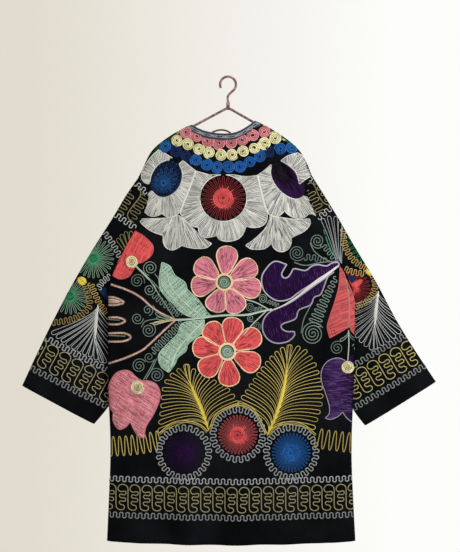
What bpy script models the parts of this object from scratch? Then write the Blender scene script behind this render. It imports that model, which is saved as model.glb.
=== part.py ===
"""A knee-length embroidered robe hanging on a thin wire hanger, as a hollow of thin cloth walls.

The robe's back faces -Y and its open front faces +Y. X runs to the right, seen from the back.
The origin is under the top of the hanger's hook, where a peg or a rod carries it.
Most shapes are first laid out in the plane of the hanger, as x and as the drop below the
hanger's peak, and then get their depth y from the fullness of the cloth.
"""

import math

import bpy
import numpy as np

MM = 0.001

# Driving sizes
WALL = 1.2 * MM  # embroidered cotton, one wall
UNDERARM_REACH, THIN_SHARE = 30 * MM, 0.5  # where the wall is thinner, and its least share
SEAM_GAP = 0.32 * MM  # between two pieces that are sewn together
PEAK_DROP = 75 * MM  # from the hook's bearing point down to the hanger's peak
HEM_DROP = 1085 * MM  # from the hanger's peak down to the hem
HEM_BOW = 8 * MM  # the hem's middle hangs this much lower than its ends
UNDERARM_SHARE = 0.332  # of a panel's rows, the part above the underarm

# The upper edge of shoulder and sleeve, from the neck point to the outer corner of the cuff, in mm:
# (left out, left drop, right out, right drop). The robe hangs a little askew, so the sides differ.
OUTLINE = (
    (92, 43, 69, 33),
    (130, 61, 107, 52),
    (162, 82, 138, 72),
    (187, 102, 165, 92),
    (201, 123, 187, 117),
    (211, 146, 200, 143),
    (225, 174, 210, 168),
    (254, 215, 238, 213),
    (290, 277, 276, 275),
    (338, 352, 325, 361),
    (384, 430, 374, 439),
    (436, 527, 417, 524),
    (480, 617, 467, 605),
    (517, 697, 522, 687),
)
SHOULDER_ROW = 6  # the row of OUTLINE where the sleeve is set in

# The edge of the body: the armhole down to the underarm, then the side down to the hem, in mm:
# (left out, left drop, right out, right drop)
BODY_EDGE = (
    (225, 174, 210, 168),
    (203, 205, 196, 196),
    (200, 234, 196, 222),
    (214, 274, 213, 254),
    (236, 314, 236, 304),
    (260, 358, 262, 362),
    (288, 414, 301, 428),
    (300, 476, 318, 486),
    (302, 505, 320, 515),
    (301, 560, 318, 560),
    (300, 700, 315, 700),
    (294, 850, 309, 850),
    (298, 970, 313, 970),
    (303, 1085, 319, 1085),
)

# The lower fold of the sleeve, from the underarm to the inner corner of the cuff, in mm.
# It runs behind the body's side, as a hanging sleeve does.
SLEEVE_FOLD = (
    (300, 476, 318, 486),
    (303, 484, 323, 494),
    (303, 495, 325, 505),
    (300, 510, 321, 520),
    (296, 538, 314, 547),
    (278, 584, 296, 594),
    (264, 634, 283, 644),
    (268, 690, 290, 698),
    (295, 748, 308, 754),
    (335, 795, 343, 799),
)

# Neck edges in mm. The back one runs from neck point to neck point: (x, drop).
BACK_NECK = ((-92, 43), (-66, 57), (-43, 63), (-15, 66.5), (10, 65.5), (28, 60), (46, 49.5), (69, 33))
# The front one runs from the neck point down the V of the front edge to the hem:
# (left out, left drop, right out, right drop)
FRONT_EDGE = (
    (92, 43, 69, 33),
    (78, 72, 59, 68),
    (51, 126, 40, 122),
    (25, 178, 20, 176),
    (9, 222, 8, 222),
    (6, 300, 5, 300),
    (8, 500, 8, 500),
    (12, 800, 12, 800),
    (16, 1093, 16, 1093),
)
NECKLINE_DROP = 222 * MM  # where the V ends

# Fullness: how far the cloth stands from the hanger's plane
BACK_TOP, BACK_FULL = 15 * MM, 32 * MM  # at the yoke, and from the chest down
FRONT_TOP, FRONT_FULL = 12 * MM, 22 * MM
EDGE_FULL, ARMHOLE_FULL = 8 * MM, 11 * MM  # at the sides, and at the armholes
FULL_FROM, FULL_OVER = 80 * MM, 250 * MM  # the drop where the fullness starts, and its height
RIDGE_FALL = 45 * MM  # how far below the shoulder ridge the fullness is reached
SIDE_FALL = 15 * MM  # how far in from the side fold
SIDE_SHIFT = -9 * MM  # the sides lie nearer to the viewer of the back than the sleeves' folds
SIDE_SHIFT_FROM, SIDE_SHIFT_OVER = 0.5, 0.35  # as shares of the half width
SIDE_SHIFT_HEIGHT = 150 * MM  # above the underarm
SLEEVE_FULL = 9 * MM
SLEEVE_RIDGE_FALL, SLEEVE_FOLD_FALL = 30 * MM, 18 * MM
SLEEVE_BEHIND = 14 * MM  # how far the sleeve's fold lies behind the hanger's plane
BEHIND_FROM, BEHIND_OVER = -60 * MM, 95 * MM  # below the underarm
BEHIND_REACH = 95 * MM  # out from the body's edge
ROOT_SHARE = 0.12  # of the sleeve's length, where it leaves the armhole's depth

# Large folds, in mm: (from x, from drop, to x, to drop, half width, depth). A positive depth
# is a trough, and a negative one a ridge.
BACK_FOLDS = (
    (98, 88, 188, 262, 17, 8),
    (132, 92, 214, 232, 14, -3),
    (-112, 96, -100, 205, 17, 5),
    (-150, 150, -176, 330, 20, 3),
    (287, 620, 285, 900, 15, 4),
    (-40, 420, -62, 1060, 26, 4),
    (150, 520, 168, 1060, 24, 4),
)
FRONT_FOLDS = (
    (-150, 150, -170, 700, 22, 4),
    (150, 150, 176, 640, 22, 4),
    (-96, 110, -120, 420, 18, 3),
    (92, 110, 118, 400, 18, 3),
)
# Sleeve folds: (from share along, from share across, to share along, to share across,
# half width in mm, depth in mm)
SLEEVE_FOLDS = (
    (0.02, 0.30, 0.42, 0.62, 15, 3.0),
    (0.25, 0.30, 0.80, 0.42, 16, 2.0),
    (0.10, 0.78, 0.45, 0.88, 12, 2.5),
)
HEM_WAVE, HEM_WAVE_LENGTH, HEM_WAVE_FROM = 7 * MM, 124 * MM, 560 * MM

# Mesh stations, as shares. They are closer where the cloth turns.
SHOULDER_SHARES = (0, 0.016, 0.045, 0.09, 0.18, 0.29, 0.41, 0.54, 0.67, 0.80, 0.922, 0.974, 1)
BRAID_CELLS = 2  # of these columns at the neck, 15 mm in all
NECK_SHARES = (0, 0.05, 0.12, 0.21, 0.30, 0.40, 0.50, 0.60, 0.70, 0.79, 0.88, 0.95, 1)
ARMHOLE_SHARES = (
    0, 0.010, 0.022, 0.0444, 0.11, 0.19, 0.28, 0.38, 0.48, 0.58, 0.68, 0.78, 0.87, 0.94, 0.977, 1,
)
TOP_CUTS = (3.2 * MM, 8 * MM, 16.5 * MM)  # the first rows of a panel lie this far below its top edge
BRAID_ROWS = 3  # of these rows at the neck, 16.5 mm in all
ROWS_BELOW_ARMHOLE = 12
PATCH_STEPS, PATCH_ROUNDS = 48, 900
SLEEVE_SHARES = (0, 0.05, 0.10, 0.15, 0.20, 0.26, 0.33, 0.42, 0.52, 0.62, 0.72, 0.82, 0.92, 1)

# Neck braid
BRAID_CUTS = (5 * MM, 15 * MM)  # the columns of cells under it on the fronts
BRAID_WALL = 1.2 * MM
# Hanging loop: (x, drop) in mm, behind the neck's back edge
LOOP_ROUTE = ((-54, 86), (-48, 71), (-35, 61), (-17, 57), (-1, 60.5), (10, 70), (15, 85))
LOOP_RADIUS = 1.5 * MM
# Hanger
WIRE_RADIUS = 2.8 * MM
WIRE_CLEARANCE = 1.8 * MM  # under the cloth's inner face
WIRE_END = 192 * MM  # from the centre line to the end of an arm
HOOK_RADIUS = 20 * MM
STEM_TOP = -46 * MM
COLLAR_RADIUS, COLLAR_LENGTH = 4.2 * MM, 16 * MM

BLACK_CLOTH = ((0.012, 0.013, 0.016), 0.85)
GREY_BRAID = ((0.16, 0.17, 0.19), 0.75)
LOOP_CORD = ((0.10, 0.06, 0.07), 0.7)
WRAPPED_WIRE = ((0.25, 0.16, 0.17), 0.6)


# Lines in the plane

def side_points(table, sign):
    """One side of a four-column table as points (x, drop) in metres."""
    column = 0 if sign < 0 else 2
    return np.array([(sign * row[column] * MM, row[column + 1] * MM) for row in table])


def smooth_line(points, per_span=16):
    """A Catmull-Rom line through the points, with per_span steps between two of them."""
    padded = np.vstack([2 * points[0] - points[1], points, 2 * points[-1] - points[-2]])
    t = np.linspace(0, 1, per_span, endpoint=False)[:, None]
    spans = []
    for a, b, c, d in zip(padded, padded[1:], padded[2:], padded[3:]):
        spans.append(0.5 * (2 * b + (c - a) * t + (2 * a - 5 * b + 4 * c - d) * t**2
                            + (3 * b - a - 3 * c + d) * t**3))
    return np.vstack([*spans, points[-1]])


def lengths(line):
    steps = np.linalg.norm(np.diff(line, axis=0), axis=1)
    return np.concatenate([[0], np.cumsum(steps)])


def at_shares(line, shares):
    """Points of a line at shares of its length."""
    along = lengths(line)
    wanted = np.asarray(shares) * along[-1]
    return np.stack([np.interp(wanted, along, line[:, k]) for k in range(line.shape[1])], axis=1)


def distance_to(line, x, drop):
    """How far points of the plane are from a line."""
    points = np.stack([x, drop], axis=-1)[..., None, :]
    start, step = line[:-1], np.diff(line, axis=0)
    share = ((points - start) * step).sum(-1) / (step * step).sum(-1)
    nearest = start + np.clip(share, 0, 1)[..., None] * step
    return np.linalg.norm(points - nearest, axis=-1).min(-1)


def ease(t):
    """0 to 1 with a soft start and end."""
    t = np.clip(t, 0, 1)
    return t * t * (3 - 2 * t)


def round_off(distance, fall):
    """A quarter ellipse: 0 at an edge, 1 from the fall on."""
    return np.sqrt(np.clip(1 - (1 - np.clip(distance / fall, 0, 1)) ** 2, 0, 1))


UPPER_EDGE = {sign: smooth_line(side_points(OUTLINE, sign)) for sign in (-1, 1)}
SHOULDER_INDEX = SHOULDER_ROW * 16
SHOULDER = {sign: UPPER_EDGE[sign][: SHOULDER_INDEX + 1][::-1] for sign in (-1, 1)}
SLEEVE_TOP = {sign: UPPER_EDGE[sign][SHOULDER_INDEX:] for sign in (-1, 1)}
EDGE = {sign: smooth_line(side_points(BODY_EDGE, sign)) for sign in (-1, 1)}
FRONT_OPENING = {sign: smooth_line(side_points(FRONT_EDGE, sign)) for sign in (-1, 1)}
SHOULDER_DROP = {sign: SHOULDER[sign][0, 1] for sign in (-1, 1)}
NECK = smooth_line(np.array(BACK_NECK) * MM)


def edge_x(sign, drop):
    """x of the body's edge at a drop."""
    return np.interp(drop, EDGE[sign][:, 1], EDGE[sign][:, 0])


def split_at_drop(line, drop):
    """The two parts of a line above and below a drop."""
    x = np.interp(drop, line[:, 1], line[:, 0])
    cut = np.array([[x, drop]])
    above, below = line[line[:, 1] < drop - MM / 10], line[line[:, 1] > drop + MM / 10]
    return np.vstack([above, cut]), np.vstack([cut, below])


UNDERARM_DROP = {-1: 476 * MM, 1: 486 * MM}
ARMHOLE, SIDE_SEAM = {}, {}
for side in (-1, 1):
    ARMHOLE[side], SIDE_SEAM[side] = split_at_drop(EDGE[side], UNDERARM_DROP[side])


def joined_at(first, second, shares, join):
    """Points of two lines in a row, the first one taking the shares up to join."""
    shares = np.asarray(shares, float)
    before = at_shares(first, np.clip(shares / join, 0, 1))
    after = at_shares(second, np.clip((shares - join) / (1 - join), 0, 1))
    return np.where((shares <= join)[:, None], before, after)


def relaxed(grid):
    """Moves the inner points of a plane grid until its cells are smooth and none is folded over."""
    grid = grid.copy()
    for _ in range(PATCH_ROUNDS):
        down = (grid[2:, 1:-1] - grid[:-2, 1:-1]) / 2
        over = (grid[1:-1, 2:] - grid[1:-1, :-2]) / 2
        turn = (grid[2:, 2:] - grid[2:, :-2] - grid[:-2, 2:] + grid[:-2, :-2]) / 4
        a = (over**2).sum(-1, keepdims=True)
        b = (down * over).sum(-1, keepdims=True)
        c = (down**2).sum(-1, keepdims=True)
        target = a * (grid[2:, 1:-1] + grid[:-2, 1:-1]) + c * (grid[1:-1, 2:] + grid[1:-1, :-2]) - 2 * b * turn
        grid[1:-1, 1:-1] += 0.9 * (target / (2 * (a + c) + 1e-12) - grid[1:-1, 1:-1])
    return grid


def patch(top, bottom, left, right, rows, columns):
    """Plane points of a four-sided piece. The sides are functions from shares to points."""
    even = np.linspace(0, 1, PATCH_STEPS + 1)
    t, u = even[:, None, None], even[None, :, None]
    above, below, first, last = top(even)[None], bottom(even)[None], left(even)[:, None], right(even)[:, None]
    corners = ((1 - t) * (1 - u) * above[:, :1] + (1 - t) * u * above[:, -1:]
               + t * (1 - u) * below[:, :1] + t * u * below[:, -1:])
    fine = relaxed((1 - t) * above + t * below + (1 - u) * first + u * last - corners)
    by_row = np.stack([[np.interp(rows, even, fine[:, j, k]) for j in range(PATCH_STEPS + 1)] for k in (0, 1)])
    points = np.stack([[np.interp(columns, even, by_row[k, :, i]) for i in range(len(rows))] for k in (0, 1)], -1)
    points[0], points[-1] = top(columns), bottom(columns)
    points[:, 0], points[:, -1] = left(rows), right(rows)
    return points


# Depth of the cloth

def trough(folds, x, drop):
    """The sum of soft troughs along straight lines."""
    total = np.zeros_like(x)
    for x0, drop0, x1, drop1, half_width, depth in folds:
        line = np.array([(x0, drop0), (x1, drop1)]) * MM
        away = distance_to(line, x, drop) / (half_width * MM)
        total += depth * MM * np.exp(-(away**2))
    return total


def side_share(x, drop):
    """0 on the centre line, 1 on the body's edge."""
    width = np.where(x < 0, -edge_x(-1, drop), edge_x(1, drop))
    return np.clip(np.abs(x) / width, 0, 1)


def fold_distances(x, drop):
    """Distances to the nearest shoulder ridge and to the nearest side fold."""
    ridge = np.minimum(distance_to(UPPER_EDGE[-1], x, drop), distance_to(UPPER_EDGE[1], x, drop))
    side = np.minimum(distance_to(SIDE_SEAM[-1], x, drop), distance_to(SIDE_SEAM[1], x, drop))
    return ridge, side


def lowering(x, drop):
    """0 at the shoulders, 1 from the underarms down."""
    underarm = np.where(x < 0, UNDERARM_DROP[-1], UNDERARM_DROP[1])
    return ease((drop - underarm) / SIDE_SHIFT_HEIGHT + 1)


def middle_depth(x, drop):
    """y half way between the body's back and front."""
    return SIDE_SHIFT * ease((side_share(x, drop) - SIDE_SHIFT_FROM) / SIDE_SHIFT_OVER) * lowering(x, drop)


def body_depth(x, drop, back):
    """y of the outer face of the body's cloth."""
    share = side_share(x, drop)
    at_top, full = (BACK_TOP, BACK_FULL) if back else (FRONT_TOP, FRONT_FULL)
    centre = at_top + (full - at_top) * ease((drop - FULL_FROM) / FULL_OVER)
    edge = ARMHOLE_FULL + (EDGE_FULL - ARMHOLE_FULL) * lowering(x, drop)
    ridge, side = fold_distances(x, drop)
    rounded = round_off(ridge, RIDGE_FALL) * round_off(side, SIDE_FALL)
    fullness = edge + (centre - edge) * (1 - share**2.4)
    fullness -= trough(BACK_FOLDS if back else FRONT_FOLDS, x, drop)
    swing = HEM_WAVE * ease((drop - HEM_WAVE_FROM) / (HEM_DROP - HEM_WAVE_FROM)) * (1 - share**2)
    fullness += swing * np.sin(2 * math.pi * x / HEM_WAVE_LENGTH + (0.6 if back else 2.1))
    middle = middle_depth(x, drop)
    return middle - fullness * rounded if back else middle + fullness * rounded


def raised(x, drop, y):
    """Plane points and their depth as points of the robe."""
    return np.stack([x, y, -PEAK_DROP - drop], axis=-1)


# Grids of points, one for each piece of cloth. Neighbours share their edge points.

def body_rows():
    below = np.linspace(UNDERARM_SHARE, 1, ROWS_BELOW_ARMHOLE + 1)[1:]
    return np.concatenate([np.array(ARMHOLE_SHARES) * UNDERARM_SHARE, below])


def hem_drop(x):
    return HEM_DROP + HEM_BOW * (1 - side_share(x, np.full_like(x, HEM_DROP)) ** 2)


def hem_line(start, end):
    """A function from shares to points of the hem."""
    def line(shares):
        x = start + (end - start) * np.asarray(shares)
        return np.stack([x, hem_drop(x)], axis=-1)
    return line


def edge_line(sign):
    """A function from shares to points of the armhole and the side."""
    return lambda shares: joined_at(ARMHOLE[sign], SIDE_SEAM[sign], shares, UNDERARM_SHARE)


def below_top(points, sign_of_column, from_neck):
    """Sets the first rows of a panel at fixed distances below its top edge."""
    for column, (sign, share) in enumerate(zip(sign_of_column, from_neck)):
        armhole = ARMHOLE[sign][8] - ARMHOLE[sign][0] if sign else np.zeros(2)
        lean = ease((share - 0.3) / 0.7) if sign else 0.0
        heading = np.array([0.0, 1.0]) * (1 - lean)
        heading = heading + armhole / max(np.linalg.norm(armhole), 1e-9) * lean
        heading /= np.linalg.norm(heading)
        for row, cut in enumerate(TOP_CUTS, 1):
            points[row, column] = points[0, column] + heading * cut
    return points


def body_grid(plane, back, columns_on_ridge, side_columns):
    """Points of a panel. Its shoulder and side edges lie exactly where its neighbour's do."""
    x, drop = plane[..., 0], plane[..., 1]
    y = body_depth(x, drop, back)
    middle = middle_depth(x, drop)
    for part in columns_on_ridge:
        y[0, part] = middle[0, part]
    underarm = len(ARMHOLE_SHARES) - 1
    for column in side_columns:
        y[underarm:, column] = middle[underarm:, column]
    return raised(x, drop, y)


def back_grid():
    shoulder = np.array(SHOULDER_SHARES) / 3
    neck = (1 + np.array(NECK_SHARES)) / 3
    columns = np.concatenate([shoulder, neck[1:-1], 1 - shoulder[::-1]])

    def top(shares):
        shares = np.asarray(shares, float)
        left = at_shares(SHOULDER[-1], np.clip(shares * 3, 0, 1))
        right = at_shares(SHOULDER[1], np.clip(3 - shares * 3, 0, 1))
        middle = at_shares(NECK, np.clip(shares * 3 - 1, 0, 1))
        line = np.where((shares < 1 / 3 + 1e-9)[:, None], left, middle)
        return np.where((shares > 2 / 3 - 1e-9)[:, None], right, line)

    hem = hem_line(edge_x(-1, HEM_DROP), edge_x(1, HEM_DROP))
    plane = patch(top, hem, edge_line(-1), edge_line(1), body_rows(), columns)
    count = len(SHOULDER_SHARES)
    signs = [-1] * (count - 1) + [0] * (len(columns) - 2 * count + 2) + [1] * (count - 1)
    from_neck = [1 - share for share in SHOULDER_SHARES[:-1]]
    from_neck = from_neck + [0] * (len(columns) - 2 * count + 2) + from_neck[::-1]
    edges = plane[:, [0, -1]].copy()
    plane = below_top(plane, signs, from_neck)
    plane[:, [0, -1]] = edges
    return body_grid(plane, True, (slice(0, count), slice(-count, None)), (0, -1))


def front_grid(sign):
    """Columns run from the body's edge to the front opening."""
    opening = FRONT_OPENING[sign]

    def opening_line(shares):
        stops = (0, UNDERARM_SHARE, 1)
        drops = (opening[0, 1], UNDERARM_DROP[sign], opening[-1, 1])
        drop = np.interp(shares, stops, drops)
        return np.stack([np.interp(drop, opening[:, 1], opening[:, 0]), drop], axis=-1)

    top = lambda shares: at_shares(SHOULDER[sign], shares)
    hem = hem_line(edge_x(sign, HEM_DROP), opening[-1, 0])
    plane = patch(top, hem, edge_line(sign), opening_line, body_rows(), np.array(SHOULDER_SHARES))
    edges = plane[:, [0, -1]].copy()
    plane = below_top(plane, [sign] * plane.shape[1], 1 - np.array(SHOULDER_SHARES))
    plane[:, [0, -1]] = edges
    slope = np.gradient(edges[:, 1, 0], edges[:, 1, 1])
    for cell, width in enumerate(BRAID_CUTS, 1):
        plane[1:, -1 - cell, 0] = edges[1:, 1, 0] + sign * (width * np.hypot(1, slope))[1:]
        plane[1:, -1 - cell, 1] = edges[1:, 1, 1]
    return body_grid(plane, False, (slice(None),), (0,))


def sleeve_trough(along, across, width):
    """Soft troughs that run along the sleeve."""
    total = np.zeros(np.broadcast_shapes(along.shape, across.shape))
    for along0, across0, along1, across1, half_width, depth in SLEEVE_FOLDS:
        share = np.clip((along - along0) / (along1 - along0), 0, 1)
        centre = across0 + (across1 - across0) * share
        past = np.maximum(np.maximum(along0 - along, along - along1), 0) / 0.08
        away = (across - centre) * width / (half_width * MM)
        total += depth * MM * np.exp(-(away**2) - past**2)
    return total


def sleeve_grid(sign):
    """Rows run from the armhole to the cuff. Columns run down the back and up the front."""
    along = np.array(SLEEVE_SHARES)[:, None]
    across = np.array(ARMHOLE_SHARES)[None, :]
    fold = smooth_line(side_points(SLEEVE_FOLD, sign))
    upper, lower = (at_shares(line, SLEEVE_SHARES)[:, None, :] for line in (SLEEVE_TOP[sign], fold))
    cuff = np.stack([SLEEVE_TOP[sign][-1], fold[-1]])
    plane = patch(
        lambda shares: edge_line(sign)(np.asarray(shares) * UNDERARM_SHARE),
        lambda shares: at_shares(cuff, shares),
        lambda shares: at_shares(SLEEVE_TOP[sign], shares),
        lambda shares: at_shares(fold, shares),
        np.array(SLEEVE_SHARES),
        np.array(ARMHOLE_SHARES),
    )
    x, drop = plane[..., 0], plane[..., 1]
    width = np.linalg.norm(lower - upper, axis=-1)
    root_back, root_front = (body_depth(x[:1], drop[:1], back) for back in (True, False))
    root_middle, root_full = middle_depth(x[:1], drop[:1]), (root_front - root_back) / 2
    free = round_off(across * width, SLEEVE_RIDGE_FALL) * round_off((1 - across) * width, SLEEVE_FOLD_FALL)
    turned = ease(along / 0.3)
    full = root_full * (1 - turned) + SLEEVE_FULL * free * turned
    body_edge = np.abs(edge_x(sign, drop))
    inward = ease(1 - np.clip(np.abs(x) - body_edge, 0, None) / BEHIND_REACH)
    below = ease((drop - UNDERARM_DROP[sign] - BEHIND_FROM) / BEHIND_OVER)
    left_root = ease(along / ROOT_SHARE)
    middle = root_middle * (1 - left_root) + SLEEVE_BEHIND * inward * below * left_root
    crease = sleeve_trough(along, across, width) * free * ease(along / 0.05)
    back = raised(x, drop, middle - full + crease)
    front = raised(x, drop, middle + full - 0.6 * crease)
    back[:, 0, 1] = front[:, 0, 1] = middle[:, 0]
    back[:, -1, 1] = middle[:, -1]
    return np.concatenate([back, front[:, -2:0:-1]], axis=1)


# Solids

def quads_of(grid, closed, flip):
    """Vertex numbers of a grid's quads, turned to face outwards."""
    rows, columns = grid.shape[:2]
    number = np.arange(rows * columns).reshape(rows, columns)
    if closed:
        number = np.hstack([number, number[:, :1]])
    a, b, c, d = number[:-1, :-1], number[:-1, 1:], number[1:, 1:], number[1:, :-1]
    corners = (d, c, b, a) if flip else (a, b, c, d)
    return np.stack(corners, axis=-1).reshape(-1, 4)


def key_of(point):
    return tuple(np.round(np.asarray(point) * 2e5).astype(int))


def normal_key(name, point):
    """The key under which a point's normal is shared. A sleeve keeps its own at the underarm."""
    for sign, drop in UNDERARM_DROP.items():
        miss = np.hypot(point[0] - edge_x(sign, drop), point[2] + PEAK_DROP + drop)
        if miss < MM / 10 and name.startswith("sleeve"):
            return (name, *key_of(point))
    return key_of(point)


def shared_normals(grids):
    """Normals of all grids, averaged where grids share a point. grids is {name: (points, closed, flip)}."""
    total = {}
    for name, (points, closed, flip) in grids.items():
        flat = points.reshape(-1, 3)
        quads = quads_of(points, closed, flip)
        face = np.cross(flat[quads[:, 2]] - flat[quads[:, 0]], flat[quads[:, 3]] - flat[quads[:, 1]])
        face /= np.sqrt(np.linalg.norm(face, axis=1, keepdims=True))
        for quad, normal in zip(quads, face):
            for vertex in quad:
                key = normal_key(name, flat[vertex])
                total[key] = total.get(key, 0) + normal
    found = {}
    for name, (points, _, _) in grids.items():
        normals = np.array([total[normal_key(name, point)] for point in points.reshape(-1, 3)])
        normals /= np.linalg.norm(normals, axis=1, keepdims=True)
        found[name] = normals.reshape(points.shape)
    return found


def pull_back(points, edges):
    """Moves the named edges of a grid half a seam gap towards its inside."""
    moved = points.copy()
    for edge, part in edges:
        view = moved if edge == "top" else moved.swapaxes(0, 1)
        still = points if edge == "top" else points.swapaxes(0, 1)
        at, beside = (-1, -2) if edge == "right" else (0, 1)
        step = still[beside, part] - still[at, part]
        view[at, part] += step / np.linalg.norm(step, axis=-1, keepdims=True) * SEAM_GAP / 2
    return moved


def border_of(quads):
    """The directed edges that only one quad uses."""
    edges = np.concatenate([quads[:, [0, 1]], quads[:, [1, 2]], quads[:, [2, 3]], quads[:, [3, 0]]])
    used = set(map(tuple, edges.tolist()))
    return [(a, b) for a, b in used if (b, a) not in used]


def walled(name, outer, inner, quads, look):
    """A closed solid between the outer points and the inner points of the same quads."""
    count = len(outer)
    triangles = np.vstack([quads[:, [0, 1, 2]], quads[:, [0, 2, 3]]])
    faces = triangles.tolist() + (triangles[:, ::-1] + count).tolist()
    faces += [(b, a, a + count, b + count) for a, b in sorted(border_of(quads))]
    return mesh_object(name, np.concatenate([outer, inner]), faces, look)


def mesh_object(name, points, faces, look):
    mesh = bpy.data.meshes.new(name)
    mesh.from_pydata([tuple(map(float, p)) for p in points], [], faces)
    mesh.validate()
    mesh.shade_smooth()
    mesh.set_sharp_from_angle(angle=math.radians(50))
    made = bpy.data.objects.new(name, mesh)
    bpy.context.scene.collection.objects.link(made)
    made.data.materials.append(material(name, *look))
    return made


def material(name, colour, roughness):
    made = bpy.data.materials.new(name)
    made.use_nodes = True
    shader = made.node_tree.nodes["Principled BSDF"]
    shader.inputs["Base Color"].default_value = (*colour, 1)
    shader.inputs["Roughness"].default_value = roughness
    shader.inputs["Metallic"].default_value = 0
    return made


def wall_at(points):
    """The wall's thickness, which is less round the underarm, where the cloth is folded tight."""
    nearest = np.full(points.shape[:-1], 1.0)
    for sign, drop in UNDERARM_DROP.items():
        underarm = np.array([edge_x(sign, drop), SIDE_SHIFT, -PEAK_DROP - drop])
        nearest = np.minimum(nearest, np.linalg.norm(points - underarm, axis=-1))
    return WALL * np.clip(nearest / UNDERARM_REACH, THIN_SHARE, 1)


def make_cloth():
    """The five pieces that are cut and sewn: back, two fronts and two sleeves."""
    grids = {
        "back_panel": (back_grid(), False, True),
        "front_left": (front_grid(-1), False, False),
        "front_right": (front_grid(1), False, True),
        "sleeve_left": (sleeve_grid(-1), True, True),
        "sleeve_right": (sleeve_grid(1), True, False),
    }
    shoulder = len(SHOULDER_SHARES)
    everything = slice(None)
    seams = {
        "back_panel": [("top", slice(0, shoulder)), ("top", slice(-shoulder, None)),
                       ("left", everything), ("right", everything)],
        "front_left": [("top", everything), ("left", everything)],
        "front_right": [("top", everything), ("left", everything)],
        "sleeve_left": [("top", everything)],
        "sleeve_right": [("top", everything)],
    }
    normals = shared_normals(grids)
    for name, (points, closed, flip) in grids.items():
        outer = pull_back(points, seams[name])
        inner = outer - normals[name] * wall_at(points)[..., None]
        walled(name, outer.reshape(-1, 3), inner.reshape(-1, 3), quads_of(points, closed, flip), BLACK_CLOTH)
    return grids, normals


# Trim

def make_braid(grids, normals):
    """The braid on the neck edge: the panels' own cells along it, moved out."""
    shoulder = len(SHOULDER_SHARES)
    back = grids["back_panel"][0]
    first, last = shoulder - 1 - BRAID_CELLS, back.shape[1] - shoulder + BRAID_CELLS + 1
    parts = {"back_panel": (slice(0, BRAID_ROWS + 1), slice(first, last))}
    for name in ("front_left", "front_right"):
        edge = grids[name][0][:, -1]
        rows = int(np.searchsorted(-edge[:, 2] - PEAK_DROP, NECKLINE_DROP)) + 1
        parts[name] = (slice(0, rows), slice(-1 - BRAID_CELLS, None))
    found, points, directions, quads = {}, [], [], []
    for name, part in parts.items():
        flip = grids[name][2]
        area, normal = grids[name][0][part], normals[name][part]
        number = []
        for point, direction in zip(area.reshape(-1, 3), normal.reshape(-1, 3)):
            key = key_of(point)
            if key not in found:
                found[key] = len(points)
                points.append(point)
                directions.append(direction)
            number.append(found[key])
        quads.append(np.array(number)[quads_of(area, False, flip)])
    points, directions = np.array(points), np.array(directions)
    inner = points + directions * SEAM_GAP
    outer = points + directions * (SEAM_GAP + BRAID_WALL)
    return walled("neck_braid", outer, inner, np.vstack(quads), GREY_BRAID)


def tube(name, path, radius, sides, look):
    """A round bar along a path, with flat ends."""
    path = np.asarray(path, float)
    ahead = np.gradient(path, axis=0)
    ahead /= np.linalg.norm(ahead, axis=1, keepdims=True)
    across = np.cross(ahead, (0.0, 1.0, 0.0))
    across /= np.linalg.norm(across, axis=1, keepdims=True)
    up = np.cross(ahead, across)
    turns = np.linspace(0, 2 * math.pi, sides, endpoint=False)
    rings = [p + radius * (math.cos(a) * s + math.sin(a) * u)
             for p, s, u in zip(path, across, up) for a in turns]
    count = len(path)
    faces = []
    for i in range(count - 1):
        for j in range(sides):
            k = (j + 1) % sides
            faces.append((i * sides + j, i * sides + k, (i + 1) * sides + k, (i + 1) * sides + j))
    faces.append(tuple(range(sides))[::-1])
    faces.append(tuple((count - 1) * sides + j for j in range(sides)))
    return mesh_object(name, rings, faces, look)


def make_loop():
    """A cord loop sewn inside the back of the neck."""
    line = smooth_line(np.array(LOOP_ROUTE) * MM, 4)
    edge = np.interp(line[:, 0], NECK[:, 0], NECK[:, 1])
    drop = np.maximum(line[:, 1], edge)
    y = body_depth(line[:, 0], drop, True) + WALL + SEAM_GAP + LOOP_RADIUS + 0.3 * MM
    return tube("hanging_loop", raised(line[:, 0], line[:, 1], y), LOOP_RADIUS, 8, LOOP_CORD)


def hanger_arm(sign):
    """The wire's centre line from the peak, under the shoulder's cloth, to the arm's end."""
    line = UPPER_EDGE[sign]
    inside = line[np.abs(line[:, 0]) <= WIRE_END]
    step = np.gradient(inside, axis=0)
    down = np.stack([-step[:, 1] * sign, np.abs(step[:, 0])], axis=1)
    down /= np.linalg.norm(down, axis=1, keepdims=True)
    under = inside + down * (WALL + WIRE_CLEARANCE + WIRE_RADIUS)
    return at_shares(np.vstack([[0.0, 0.0], under]), np.linspace(0, 1, 22))


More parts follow.
